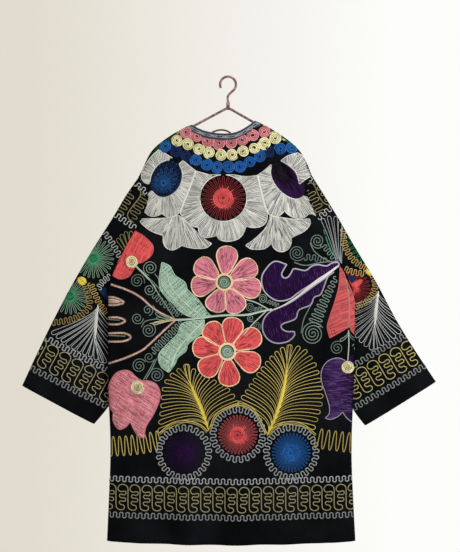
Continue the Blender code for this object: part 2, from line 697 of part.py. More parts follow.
def make_hanger():
    """Arms, collar and hook, wound as one piece."""
    left, right = hanger_arm(-1), hanger_arm(1)
    plane = np.vstack([left[::-1], right[1:]])
    peak = len(left) - 1
    plane[peak, 1] += 1.5 * MM
    arms = tube("hanger", raised(plane[:, 0], plane[:, 1], np.zeros(len(plane))), WIRE_RADIUS, 10, WRAPPED_WIRE)
    angles = np.radians(np.linspace(-58, 205, 26))
    centre = WIRE_RADIUS - HOOK_RADIUS
    bend = np.stack([HOOK_RADIUS * np.cos(angles), np.zeros(26), centre + HOOK_RADIUS * np.sin(angles)], axis=1)
    stem = np.array([(0, 0, -PEAK_DROP), (0, 0, -PEAK_DROP + 12 * MM), (0, 0, STEM_TOP)])
    path = smooth_line(np.vstack([stem, bend[0]]), 5)
    hook = tube("hook_form", np.vstack([path, bend[1:]]), WIRE_RADIUS, 10, WRAPPED_WIRE)
    collar_path = [(0, 0, -PEAK_DROP - 3 * MM), (0, 0, -PEAK_DROP - 3 * MM + COLLAR_LENGTH)]
    collar = tube("collar_form", collar_path, COLLAR_RADIUS, 10, WRAPPED_WIRE)
    for form in (hook, collar):
        form.hide_render = True
        form.display_type = "WIRE"
        join = arms.modifiers.new(form.name, "BOOLEAN")
        join.operation = "UNION"
        join.solver = "EXACT"
        join.object = form


def main():
    for old in list(bpy.data.objects):
        bpy.data.objects.remove(old)
    grids, normals = make_cloth()
    make_braid(grids, normals)
    make_loop()
    make_hanger()


main()
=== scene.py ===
import math
import random

import bmesh
import bpy
import numpy as np
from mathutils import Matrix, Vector
from mathutils.bvhtree import BVHTree
from mathutils.kdtree import KDTree


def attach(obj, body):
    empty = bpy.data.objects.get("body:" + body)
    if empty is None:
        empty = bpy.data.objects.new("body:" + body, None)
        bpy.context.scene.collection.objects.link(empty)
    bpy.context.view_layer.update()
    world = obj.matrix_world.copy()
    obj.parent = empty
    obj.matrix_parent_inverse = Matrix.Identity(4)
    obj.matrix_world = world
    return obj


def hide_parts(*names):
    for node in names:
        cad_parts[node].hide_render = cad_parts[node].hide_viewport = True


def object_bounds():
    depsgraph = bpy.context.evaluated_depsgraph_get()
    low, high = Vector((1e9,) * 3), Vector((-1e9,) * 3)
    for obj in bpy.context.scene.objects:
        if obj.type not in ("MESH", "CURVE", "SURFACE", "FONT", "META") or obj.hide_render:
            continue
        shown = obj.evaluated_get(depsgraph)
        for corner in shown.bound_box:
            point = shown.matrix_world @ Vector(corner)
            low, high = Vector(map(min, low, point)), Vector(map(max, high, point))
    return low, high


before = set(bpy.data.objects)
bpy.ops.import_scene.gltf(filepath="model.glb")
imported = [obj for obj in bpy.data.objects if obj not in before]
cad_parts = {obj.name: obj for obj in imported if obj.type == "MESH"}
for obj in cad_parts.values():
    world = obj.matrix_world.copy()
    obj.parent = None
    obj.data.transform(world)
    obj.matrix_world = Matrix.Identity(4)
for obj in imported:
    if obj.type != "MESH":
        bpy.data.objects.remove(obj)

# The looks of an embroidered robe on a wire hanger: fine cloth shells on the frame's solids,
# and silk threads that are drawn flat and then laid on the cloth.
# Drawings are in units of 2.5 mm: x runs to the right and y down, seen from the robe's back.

cad_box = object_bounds()
MM = 0.001
UNIT = 2.5 * MM
PEAK_DRAWN = np.array([228.0, 107.0])  # the hanger's peak in the drawings
PEAK_Z = -75 * MM
BACK, FRONT = -1, 1  # the side of the robe that a drawing is seen from
random.seed(11)

CLOTH_NODES = ("back_panel", "front_left", "front_right", "sleeve_left", "sleeve_right")

# Silk colours, each from 0 to 255
SILKS = {
    "white": (228, 228, 224),
    "silver": (198, 198, 192),
    "pale": (206, 222, 206),
    "grey": (160, 166, 168),
    "dove": (186, 190, 190),
    "ash": (168, 173, 182),
    "iron": (58, 64, 80),
    "slate": (130, 150, 140),
    "mint": (176, 208, 186),
    "sage": (138, 168, 142),
    "moss": (58, 84, 62),
    "fir": (34, 96, 62),
    "jade": (66, 146, 114),
    "green": (26, 140, 94),
    "cream": (250, 218, 178),
    "straw": (238, 232, 180),
    "yellow": (236, 212, 84),
    "amber": (186, 160, 96),
    "gold": (166, 158, 116),
    "straw_gold": (186, 174, 112),
    "khaki": (146, 138, 94),
    "olive": (204, 184, 104),
    "tan": (226, 198, 180),
    "rust": (112, 68, 66),
    "pink": (222, 130, 150),
    "blush": (228, 138, 152),
    "shell": (242, 184, 190),
    "rose": (220, 138, 144),
    "salmon": (208, 94, 96),
    "coral": (232, 92, 94),
    "crimson": (132, 34, 46),
    "garnet": (170, 58, 64),
    "plum": (96, 40, 72),
    "violet": (98, 70, 132),
    "purple": (44, 17, 64),
    # painted light: a lighter purple for the lit left part of the purple tulip
    "amethyst": (60, 32, 82),
    "lilac": (196, 190, 210),
    "blue": (38, 98, 174),
    "marine": (40, 92, 156),
    "navy": (24, 44, 88),
    "ink": (14, 18, 32),
    # painted shade: a near-black purple that stands for a fold's shadow on the purple disc
    "aubergine": (15, 6, 22),
}
STITCH_SHADES, STITCH_WEIGHTS = (0.74, 0.88, 0.97, 1.05), (2, 4, 4, 3)  # for stitches in a filled form
LINE_SHADES, LINE_WEIGHTS = (0.82, 0.92, 1.0), (1, 2, 2)  # for a thread that draws a line
SILK_LEVEL = 0.85  # the part of the light that silk of the brightest colour gives back


STRAIGHT_STEP, BENT_STEP = 2.0, 0.8  # between the stations of a stitch, and of a curved thread
LOOP_POINTS = 14  # of each loop in a disc's ring
LOOP_SLENDERNESS, LOOP_GAP, LOOP_ROUNDNESS = 1.8, 0.6, 0.42
SHORT_SHARE = 0.05  # of the stitches of a filled form, so that the cloth shows beside them
UNEVEN_END, UNEVEN_LEAN = 0.3, 1.8  # of a stitch: how far its ends stray, and how many degrees it leans
TICK_LENGTH, TICK_SPACING = 2.6, 1.5


# Lines in a drawing

def points_of(line):
    return np.asarray(line, float)


def smooth(line):
    """A line's points. A tuple holds only some, and a smooth line is drawn through them."""
    return curve(line) if isinstance(line, tuple) else points_of(line)


def curve(points, ring=False, per_span=8):
    """A smooth line through the points."""
    points = points_of(points)
    if ring:
        controls = np.vstack([points[-1], points, points[:2]])
    else:
        controls = np.vstack([2 * points[0] - points[1], points, 2 * points[-1] - points[-2]])
    t = np.linspace(0, 1, per_span, endpoint=False)[:, None]
    spans = []
    for a, b, c, d in zip(controls, controls[1:], controls[2:], controls[3:]):
        spans.append(0.5 * (2 * b + (c - a) * t + (2 * a - 5 * b + 4 * c - d) * t**2
                            + (3 * b - a - 3 * c + d) * t**3))
    if not ring:
        spans.append(points[-1:])
    return np.vstack(spans)


def lengths(line):
    return np.concatenate([[0], np.cumsum(np.linalg.norm(np.diff(line, axis=0), axis=1))])


def at_shares(line, shares):
    """Points of a line at shares of its length."""
    line = smooth(line)
    along = lengths(line)
    wanted = np.asarray(shares, float) * along[-1]
    return np.stack([np.interp(wanted, along, line[:, k]) for k in range(line.shape[1])], axis=1)


def spaced(line, step):
    """The line with even steps."""
    line = smooth(line)
    count = max(2, int(round(lengths(line)[-1] / step)) + 1)
    return at_shares(line, np.linspace(0, 1, count))


def headings(line):
    """Unit steps along a line, and unit steps to its right."""
    ahead = np.gradient(line, axis=0)
    ahead /= np.maximum(np.linalg.norm(ahead, axis=1, keepdims=True), 1e-9)
    return ahead, np.stack([-ahead[:, 1], ahead[:, 0]], axis=1)


def turned(points, angle):
    """Points turned about the origin, in degrees."""
    c, s = math.cos(math.radians(angle)), math.sin(math.radians(angle))
    return points_of(points) @ np.array([[c, s], [-s, c]])


def circle(centre, radius, steps=40):
    turn = np.linspace(0, 2 * math.pi, steps + 1)
    return points_of(centre) + radius * np.stack([np.cos(turn), np.sin(turn)], axis=1)


def ellipse(centre, radii, angle, steps=48):
    return points_of(centre) + turned(circle((0, 0), 1, steps) * radii, angle)


def coil(centre, radius, pitch=1.3, start=0.0, hand=1, eye=0.5):
    """A spiral from its rim to its eye."""
    turns = (radius - eye) / pitch
    angle = np.linspace(0, 2 * math.pi * turns, int(turns * 18) + 8)
    away = radius - pitch * angle / (2 * math.pi)
    angle = hand * angle + math.radians(start)
    return points_of(centre) + away[:, None] * np.stack([np.cos(angle), np.sin(angle)], axis=1)


def looped(centre, edge, inner, count):
    """A closed ring of narrow loops that reach from round a centre to an outline."""
    centre = points_of(centre)
    turn = np.linspace(0, 2 * math.pi, count * LOOP_POINTS + 1)
    pulse = np.tanh(LOOP_SLENDERNESS * np.sin(turn * count) - LOOP_GAP)
    share = (pulse - pulse.min()) / (pulse.max() - pulse.min())
    angle = turn - LOOP_ROUNDNESS / count * np.sin(2 * turn * count)
    away = edge - centre
    bearing = np.arctan2(away[:, 1], away[:, 0])
    reach = np.interp(angle, bearing, np.linalg.norm(away, axis=1), period=2 * math.pi)
    distance = inner + (reach - inner) * share
    return centre + distance[:, None] * np.stack([np.cos(angle), np.sin(angle)], axis=1)


def wave(path, width, pitch, lean=0.13, end_width=None):
    """A wave along a path with round, slightly overhanging bends."""
    line = spaced(path, 0.4)
    share = np.linspace(0, 1, len(line))
    bends = max(1, round(lengths(line)[-1] / pitch))
    turn = share * bends * 2 * math.pi
    ahead, side = headings(line)
    widths = width + ((width if end_width is None else end_width) - width) * share
    swing = side * (widths / 2 * np.sin(turn))[:, None]
    return line + swing - ahead * (lean * pitch * np.sin(2 * turn))[:, None]


def beside(line, *shifts):
    """Lines along a line, each at a distance to its right."""
    line = smooth(line)
    return [line + headings(line)[1] * shift for shift in shifts]


def scalloped(points, count, depth):
    """A smooth line with round lobes on its left."""
    line = spaced(points, 0.6)
    lobes = np.abs(np.sin(np.linspace(0, count * math.pi, len(line)))) ** 0.7
    return line - headings(line)[1] * (depth * lobes)[:, None]


def outline(*sides, open_end=False):
    """An outline from smooth sides. Each runs to the first point of the next one, with a corner there.

    The last one runs back to the first point of all, unless its end is open.
    """
    corners = [side[0] for side in (*sides[1:], sides[0])]
    joined = []
    for side, corner in zip(sides, corners):
        if isinstance(side, tuple) and not (open_end and side is sides[-1]):
            side = (*side, corner)
        joined.append(smooth(side))
    return np.vstack(joined)


def crossings(edge, start, direction):
    """The distances at which a line from start crosses a closed outline."""
    first, last = edge, np.roll(edge, -1, axis=0)
    normal = np.array([-direction[1], direction[0]])
    before, after = (first - start) @ normal, (last - start) @ normal
    hit = (before > 0) != (after > 0)
    share = (before[hit] / (before[hit] - after[hit]))[:, None]
    return np.sort((first[hit] + (last[hit] - first[hit]) * share - start) @ direction)


def closed(edge):
    return np.vstack([edge, edge[:1]])


def within(points, edge):
    """Which points lie in a closed outline."""
    first, last = edge, np.roll(edge, -1, axis=0)
    x, y = points[:, :1], points[:, 1:]
    level = (first[:, 1] > y) != (last[:, 1] > y)
    fall = np.where(first[:, 1] == last[:, 1], 1, last[:, 1] - first[:, 1])
    reach = first[:, 0] + (y - first[:, 1]) * (last[:, 0] - first[:, 0]) / fall
    return (level & (x < reach)).sum(axis=1) % 2 == 1


def runs_of(line, edge, inside):
    """The runs of a line that lie in a closed outline, or outside it."""
    line = spaced(line, 0.8)
    kept = within(line, edge) == inside
    cuts = np.flatnonzero(kept[1:] != kept[:-1]) + 1
    return [run for run, keep in zip(np.split(line, cuts), np.split(kept, cuts)) if keep[0] and len(run) > 4]


def stitched(start, direction, low, high):
    """One stitch of a filled form."""
    low += random.uniform(-UNEVEN_END, UNEVEN_END)
    high += random.uniform(-UNEVEN_END, UNEVEN_END)
    if random.random() < SHORT_SHARE:
        low += (high - low) * random.uniform(0.1, 0.4)
    return np.array([start + direction * low, start + direction * high])


def flecks(lines, length):
    """A short bit of each stitch, somewhere along it."""
    bits = []
    for start, end in lines:
        whole = np.linalg.norm(end - start)
        bit = min(length * random.uniform(0.6, 1.4), whole)
        low = random.uniform(0, whole - bit)
        bits.append(start + (end - start) / whole * np.array([[low], [low + bit]]))
    return bits


def pieced(lines, length):
    """Long stitches cut into bits of about a length, so that each bit has its own shade."""
    bits = []
    for start, end in lines:
        count = max(1, round(np.linalg.norm(end - start) / (length * random.uniform(0.7, 1.4))))
        cuts = start + (end - start) * np.linspace(0, 1, count + 1)[:, None]
        bits += [np.array(pair) for pair in zip(cuts, cuts[1:])]
    return bits


def snipped(line, length):
    """A curved line cut into bits of about a length, so that each bit has its own shade."""
    line = spaced(line, BENT_STEP)
    bits = []
    at = 0
    while at < len(line) - 3:
        bit = max(3, int(length / BENT_STEP * random.uniform(0.6, 1.5)))
        bits.append(line[at:at + bit + 1])
        at += bit
    return bits


def ticks(line, centre):
    """Short stitches along a line that point from a centre."""
    inwards = points_of(centre) - line
    inwards /= np.linalg.norm(inwards, axis=1, keepdims=True)
    return [np.array([point, point + step * TICK_LENGTH * random.uniform(0.5, 1.3)])
            for point, step in zip(line[::2], inwards[::2]) if random.random() < 1.6 / TICK_SPACING]


def hatch(edge, angle, spacing=0.95):
    """Straight stitches side by side in a closed outline."""
    direction = turned([(1, 0)], angle)[0]
    across = np.array([-direction[1], direction[0]])
    reach = edge @ across
    lines = []
    level = reach.min() + spacing / 2
    while level < reach.max():
        lean = turned([direction], random.uniform(-UNEVEN_LEAN, UNEVEN_LEAN))[0]
        start = across * level + direction * (edge @ direction).mean()
        found = crossings(edge, start, lean)
        lines += [stitched(start, lean, low, high) for low, high in zip(found[::2], found[1::2])
                  if high - low > 1]
        level += spacing * random.uniform(0.9, 1.12)
    return lines


def rays(edge, centre, spacing=0.95, hole=None):
    """Stitches in a closed outline that spread from a centre, round a hole."""
    centre = points_of(centre)
    away = np.linalg.norm(edge - centre, axis=1)
    step = spacing / (0.7 * away.max() + 0.3 * away.mean())
    lines = []
    angle = 0.0
    while angle < 2 * math.pi:
        direction = np.array([math.cos(angle), math.sin(angle)])
        found = [d for d in crossings(edge, centre, direction) if d > 0]
        if len(found) % 2:
            found.insert(0, 0.5)
        open_from = 0
        if hole is not None:
            open_from = max([d for d in crossings(hole, centre, direction) if d > 0], default=0)
        for low, high in zip(found[::2], found[1::2]):
            low = max(low, open_from)
            if high - low > 1.2:
                lines.append(stitched(centre, direction, low, high))
        angle += step * random.uniform(0.85, 1.15)
    return lines


def hairpin(centre_line, width):
    """A narrow loop along a line: out on one side, round the tip and back on the other."""
    line = spaced(centre_line, 1.0)
    share = np.linspace(0, 1, len(line))
    half = (width / 2 * share**0.7)[:, None]
    ahead, side = headings(line)
    turn = np.linspace(0.25, 0.75, 4)[:, None] * math.pi
    tip = line[-1] + width / 2 * (np.cos(turn) * side[-1] + np.sin(turn) * ahead[-1])
    return np.vstack([line + side * half, tip, (line - side * half)[::-1]])


def bent(start, heading, end, bow=0.45):
    """A line that leaves its start along a heading and bends to its end."""
    start, end = points_of(start), points_of(end)
    control = start + points_of(heading) * bow * np.linalg.norm(end - start)
    t = np.linspace(0, 1, 14)[:, None]
    return (1 - t) ** 2 * start + 2 * t * (1 - t) * control + t**2 * end


# Where a drawing is sewn

threads = {}  # {object's name: [(node, side of the robe, silk, line, width, lift), ...]}


def sewing(group, node, facing=BACK, home=(0, 0), to=(0, 0), scale=1.0, turn=0.0, mirror=False):
    """A function that sews a drawing's lines on one side of a cloth node, moved from home to its place."""
    home, to, sides = points_of(home), points_of(to), np.array([-1 if mirror else 1, 1])

    def sew(silk, lines, width=1.0, lift=0.0):
        """Sews one line or a list of lines. The width is in units, the lift off the cloth in mm."""
        for line in lines if isinstance(lines, list) else [lines]:
            moved = to + turned((smooth(line) - home) * sides * scale, turn)
            threads.setdefault(group, []).append((node, facing, silk, moved, width, lift))
    return sew


# Motifs

def rosette(sew, silk, centre, radius, start=0.0):
    """A coil of thick thread."""
    sew(silk, snipped(coil(centre, radius, 1.65, start, eye=0.9), 9), 1.5)


def rosette_row(sew, silk, radius, count, points, start=0.0, shaded_by_fold=()):
    """Rosettes along a line. Those that lie in a fold's shadow are sewn with a darker silk: painted shade."""
    for k, centre in enumerate(at_shares(points, np.linspace(0, 1, count))):
        size = radius * random.uniform(0.94, 1.06)
        rosette(sew, "navy" if k in shaded_by_fold else silk, centre, size, start + 140 * k)


def rayed_disc(sew, centre, heart, rim, heart_silk, loop_silk, loops, thread=0.6, fray=3.5):
    """A solid coil whose edge frays into a ring of loops."""
    centre = points_of(centre)
    sew(loop_silk, looped(centre, circle(centre, rim), heart - 0.6, loops), thread)
    sew(heart_silk, snipped(coil(centre, heart, 1.5), 8), 1.4, 0.2)
    for k in range(loops):
        ray = turned([(1, 0)], 360 / loops * k)[0]
        reach = heart + random.uniform(0.3, 1) * fray
        sew(heart_silk, np.array([centre + ray * (heart - 1), centre + ray * reach]), 0.8, 0.2)
    sew("crimson" if heart_silk == "coral" else loop_silk, coil(centre, heart * 0.6, 2.4), 0.45, 1.4)


def satin(sew, edge, centre, hole=None, gaps_and_shade=2.0):
    """A form filled with spreading silver stitches, edged with a bright thread.

    The gaps are how far apart its dark stitches are. Closer ones darken a form: they stand for the cloth
    showing between stitches, and on the right-hand pieces for painted shade as well.
    """
    sew("silver", rays(edge, centre, 0.88, hole), 0.98)
    sew("iron", flecks(rays(edge, centre, gaps_and_shade, hole), 9), 0.42, 0.9)
    sew("white", flecks(rays(edge, centre, 2.0, hole), 13), 0.65, 0.95)
    rims = [closed(edge)] if hole is None else runs_of(closed(edge), hole, False) + runs_of(hole, edge, True)
    for rim in rims:
        sew("white", snipped(rim, 12), 0.95, 0.45)
        sew("ink", ticks(rim, centre), 0.34, 1.0)


def petal(centre, angle, length, half_width, root):
    shape = ((0, 0.30), (0.28, 0.70), (0.60, 1.0), (0.85, 0.86), (0.97, 0.42), (1, 0),
             (0.97, -0.42), (0.85, -0.86), (0.60, -1.0), (0.28, -0.70), (0, -0.30))
    local = points_of(shape) * (length - root, half_width) + (root, 0)
    return points_of(centre) + turned(curve(local, ring=True), angle)


def daisy(sew, centre, silk, streak, petals, half_width=10.4, root=9.0):
    """petals holds the angle and the length of each petal."""
    for angle, length in petals:
        edge = petal(centre, angle, length, half_width, root)
        inner = petal(centre, angle, length - 3.5, half_width - 3.5, root + 2)
        sew(silk, pieced(rays(edge, centre, 0.72), 12), 0.98)
        sew(streak, flecks(rays(inner, centre, 1.4), 5), 0.46, 0.95)
        sew("cream", snipped(closed(edge), 10), 1.2, 0.5)
    sew("cream", [circle(centre, root - 1.7), circle(centre, root - 0.6)], 1.25, 0.7)
    sew("slate", coil(centre, root - 2.9, 1.3), 1.35, 0.2)
    sew("mint", coil(centre, root - 4.2, 2.2), 0.8, 0.9)


def button(sew, centre, radius):
    sew("straw", snipped(coil(centre, radius, 1.5), 7), 1.45, 0.9)
    sew("straw", snipped(circle(centre, radius - 0.7), 6), 1.2, 1.6)
    sew("gold", snipped(coil(centre, radius * 0.55, 1.6), 4), 0.9, 1.7)
    # Painted highlight: a white arc on one side of the button.
    sew("white", circle(centre, radius * 0.68)[4:16], 0.6, 2.2)


def padded(sew, silk, edge, under, angle, bit):
    """A form filled with stitches at an angle, in bits, over an underlay at another angle."""
    sew(silk, hatch(edge, under, 1.0), 1.1)
    sew(silk, pieced(hatch(edge, angle, 0.8), bit), 1.0, 0.35)


def patch(sew, silk, edge, angle, spacing=0.8, width=0.9, lift=0.0):
    """A small form filled with one layer of stitches."""
    sew(silk, hatch(edge, angle, spacing), width, lift)


def fern(sew, silk, spine_silk, spine, sides, width=4.1, thread=0.68, bow=0.42):
    """Looped barbs on both sides of a spine. sides holds (number of barbs, line of their tips)."""
    line = spaced(spine, 1.5)
    for count, tips in sides:
        ends = at_shares(tips, np.linspace(0, 1, count))
        for share, end in zip(np.linspace(0.04, 0.97, count), ends):
            root, before, beyond = at_shares(line, [share, max(share - 0.06, 0), min(share + 0.06, 1)])
            barb = bent(root, (before - beyond) / np.linalg.norm(before - beyond), end, bow)
            sew(silk, hairpin(barb, width * random.uniform(0.9, 1.1)), thread)
            sew(spine_silk, barb[:4], 1.0, 0.2)
    swell = np.sin(math.pi * np.linspace(0, 1, len(line)) ** 0.8)[:, None]
    for shift in (-1, -0.5, 0, 0.5, 1):
        sew(spine_silk, line + headings(line)[1] * shift * swell, 1.1, 0.9 - 0.5 * abs(shift))


def fan(sew, silk, base, count, tips, width=3.7):
    """Looped barbs from one point."""
    ends = at_shares(tips, np.linspace(0, 1, count))
    middle = ends.mean(0) - points_of(base)
    for end in ends:
        root = points_of(base) + (end - ends.mean(0)) * 0.26
        sew(silk, hairpin(bent(root, middle / np.linalg.norm(middle), end, 0.35), width), 0.6)


OVAL = (  # one tall oval: across its cell, and up
    (0.00, 0.78), (0.00, 0.25), (0.04, 0.08), (0.25, 0.00), (0.56, 0.00), (0.71, 0.08), (0.62, 0.18),
    (0.40, 0.20), (0.27, 0.27), (0.36, 0.34), (0.70, 0.33), (0.82, 0.40), (0.72, 0.47), (0.40, 0.47),
    (0.29, 0.54), (0.38, 0.61), (0.74, 0.59), (0.85, 0.67), (0.74, 0.74), (0.42, 0.71), (0.20, 0.77),
    (0.18, 0.88), (0.38, 0.99), (0.66, 1.00), (0.90, 0.94), (0.98, 0.86),
)


def oval_band(sew, silk, line, count, height, width=0.95):
    """Tall ovals side by side along a line. One thread winds through all of them."""
    base = curve(line)
    path = curve(np.vstack([points_of(OVAL) + (k, 0) for k in range(count)]) / (count, 1), per_span=4)
    foot = at_shares(base, np.clip(path[:, 0], 0, 1))
    side = headings(spaced(base, 1))[1].mean(0)
    sew(silk, foot - side / np.linalg.norm(side) * (path[:, 1:] - 0.5) * height, width)


def cord_line(sew, points):
    """Two pale threads between two rusty ones."""
    sew("rust", beside(points, -1.1, 1.1), 0.62)
    for pale in beside(points, -0.4, 0.4):
        sew("tan", snipped(pale, 4), 0.78, 0.3)


def scrolls(sew, silk, table, pitch=2.8, width=0.78):
    for x, y, radius, start, hand in table:
        sew(silk, coil((x, y), radius, pitch, start, hand, 0.7), width)


# The back

NAVY_DISC = ellipse((166.2, 178.8), (15.4, 19.4), 26)
NAVY_HEART = points_of((163.5, 183.0))
PURPLE_DISC = ellipse((287.6, 181.0), (21.6, 12.4), 48)
CENTRE = points_of((223.3, 198.3))
CENTRE_DISC = circle(CENTRE, 23.4, 60)
LEFT_SEAM = (195.6, 171.1), (190, 187), (184, 202)  # between two silver petals
RIGHT_SEAM = (264.4, 205.6), (261, 192.2)


def yoke(sew):
    rosette_row(sew, "rose", 6.5, 8, ((186, 132), (207.5, 141), (225.5, 143.8), (242.5, 139.3), (264, 131.5)))
    rosette_row(sew, "straw", 6.1, 10, (
        (177, 140), (196.5, 148), (221.5, 155.5), (245.5, 151), (264.5, 143.5), (275, 137.8)), 40)
    # Painted shade: three blue rosettes that lie in fold shadows are sewn in navy.
    rosette_row(sew, "blue", 6.0, 13, (
        (165.5, 146.5), (183, 154.5), (208.5, 165.5), (226, 167.5), (244.5, 165), (268, 152), (291.4, 147.3)),
        80, shaded_by_fold=(1, 2, 10))
    patch(sew, "gold", ellipse((179.3, 131.2), (4.2, 1.9), -24), -24)
    patch(sew, "straw", outline(((281, 137), (286.5, 140.4), (283, 140.2))), 35)
    corner = outline(((149.4, 156.4), (158, 144.5)), ((174, 134.6), (172, 140), (161, 148.5), (152.5, 156.5)),
                     open_end=True)
    patch(sew, "fir", corner, 70, 1.35)
    sew("fir", beside(((270, 128.6), (284, 137.4), (298, 149.4)), 0.6, 1.4), 0.8)


def discs(sew):
    sew("ink", rays(NAVY_DISC, NAVY_HEART, 0.8), 0.95)
    sew("marine", looped(NAVY_HEART, NAVY_HEART + (NAVY_DISC - NAVY_HEART) * 0.98, 2, 31), 0.38, 0.5)
    sew("marine", looped(NAVY_HEART, NAVY_HEART + (NAVY_DISC - NAVY_HEART) * 0.7, 1, 17), 0.38, 0.8)
    rayed_disc(sew, CENTRE, 10.4, 22.0, "coral", "garnet", 27, 0.46)
    sew("purple", rays(PURPLE_DISC, (272, 160), 0.72), 0.95)
    # Painted shade: near-black stitches over the disc's upper left, where a fold throws it into shadow.
    for low, high in rays(PURPLE_DISC, (272, 160), 0.85):
        sew("aubergine", np.array([low, low + (high - low) * random.uniform(0.42, 0.8)]), 1.0, 0.3)


def collars(sew):
    satin(sew, outline(
        ((182.8, 160.6),),
        LEFT_SEAM,
        ((179.4, 212.5), (175, 216), (168, 217.3)),
        ((161.9, 213.5), (156, 216.2), (149.5, 215.8)),
        ((144.4, 212), (145, 204), (147.8, 194.4)), open_end=True,
    ), (166, 179), NAVY_DISC)
    satin(sew, outline(
        ((172.3, 158), (164, 153)),
        ((158.5, 149.8), (151, 156.7), (143.6, 167.8), (141.3, 176.7), (144, 182), (148.3, 184)),
        open_end=True,
    ), (166, 179), NAVY_DISC)
    satin(sew, outline(
        ((208.9, 175),),
        LEFT_SEAM,
        ((180, 213), (186, 221), (192, 226)),
        ((198.5, 227.5), (199.5, 233), (205, 237.5), (211, 237.2)),
        ((216.5, 235.5), (220, 240), (228, 241.5), (237, 239.5), (243, 234)),
        ((246, 226.5), (253, 227.8), (261, 226.5), (266, 222)),
        ((267.5, 213.5), *RIGHT_SEAM),
        ((257.2, 175.6), (246, 176.8), (233, 175)), open_end=True,
    ), CENTRE, CENTRE_DISC)
    satin(sew, outline(
        ((257.2, 175.6), (265, 170)),
        ((271, 164.4), (273.3, 178.9)),
        ((281, 191),),
        ((306.7, 196.7), (312, 206)),
        ((317.8, 216.7), (312.5, 214)),
        ((308.9, 213.9), (303, 218), (295.6, 218.3), (288.5, 215)),
        ((284.4, 211), (279.5, 215.5), (273.3, 217)),
        ((268, 214), *RIGHT_SEAM),
    ), (287, 181), PURPLE_DISC)
    # Partly painted shade: closer dark stitches make this upper right petal greyer.
    satin(sew, outline(
        ((281, 160.6), (288, 155.6)),
        ((297.8, 152.6), (303.5, 156.7), (309, 166)),
        ((312.8, 174.8), (306, 179)),
        ((299.5, 184), (296.2, 173), (289, 165.6)),
    ), (287.5, 176), gaps_and_shade=1.4)
    for seam in ((*LEFT_SEAM, (179.8, 213)), ((257.2, 175.6), *RIGHT_SEAM[::-1], (267.8, 214))):
        sew("white", beside(seam, -0.5, 0.5), 1.0, 0.9)


def calyxes(sew):
    satin(sew, outline(
        ((178.9, 215.6), (165.6, 218.3)),
        ((140.8, 218.9), (141, 223), (151, 231)),
        ((163.3, 235.6), (163.6, 243), (167, 248.2), (173.6, 250)),
        ((182.2, 245.6), (188, 247.4), (196, 248.6), (206, 248)),
        ((211.7, 243.9), (204.4, 238.9), (193.3, 228.9), (184.4, 220)),
    ), (178, 207))
    # Partly painted shade: closer dark stitches make the right calyx darker than the left one.
    satin(sew, outline(
        ((270, 215.6), (277.8, 217.2), (295.6, 219.4)),
        ((309.4, 219), (310, 224), (304.4, 231)),
        ((291, 237.8), (290.5, 245), (286, 250.6), (279, 251.7), (273.6, 248)),
        ((271.3, 243.3), (266, 248), (260, 249.4), (251, 249)),
        ((245.6, 245.6), (253.3, 240), (263.3, 231), (268.3, 222.2)),
    ), (273, 207), gaps_and_shade=1.1)


def daisies(sew):
    daisy(sew, (224.2, 282.2), "pink", "plum",
          ((-84, 36), (-30, 36.5), (12, 37), (63, 33.5), (111, 31), (171, 33), (216, 34.5)))
    daisy(sew, (227.3, 351.4), "coral", "crimson",
          ((-78, 34.6), (-29.5, 37.5), (24, 35), (86, 34.4), (141, 34), (189.5, 34.8), (234, 34.3)))


def half_flower(sew):
    edge = outline(
        ((134.4, 230.6), (143.8, 236.3), (152.3, 244.5), (153.2, 251), (150, 257)),
        ((142.5, 262.5), (137.5, 264), (133.5, 270), (128.8, 276.6), (120, 279)),
        ((111.6, 275), (121, 252)),
    )
    padded(sew, "coral", edge, 30, 118, 8)
    sew("garnet", flecks(hatch(edge, 122, 2.2) * 2, 3), 0.4, 0.95)
    sew("salmon", closed(edge), 0.9, 0.4)
    sew("crimson", ((126, 254), (124.5, 262), (128, 269), (134, 270.5)), 0.6, 1.0)
    sew("pale", beside(((135.7, 265.7), (143, 273), (150, 280)), -0.45, 0.45), 0.8, 0.5)
    sew("pale", ((150, 280), (154.5, 287), (160, 296)), 0.8, 0.5)
    sew("slate", [((150, 280), (160, 296), (175, 319)), ((151, 279.5), (162, 292), (178, 314))], 0.9, 0.3)
    button(sew, (131.8, 261.8), 6.0)


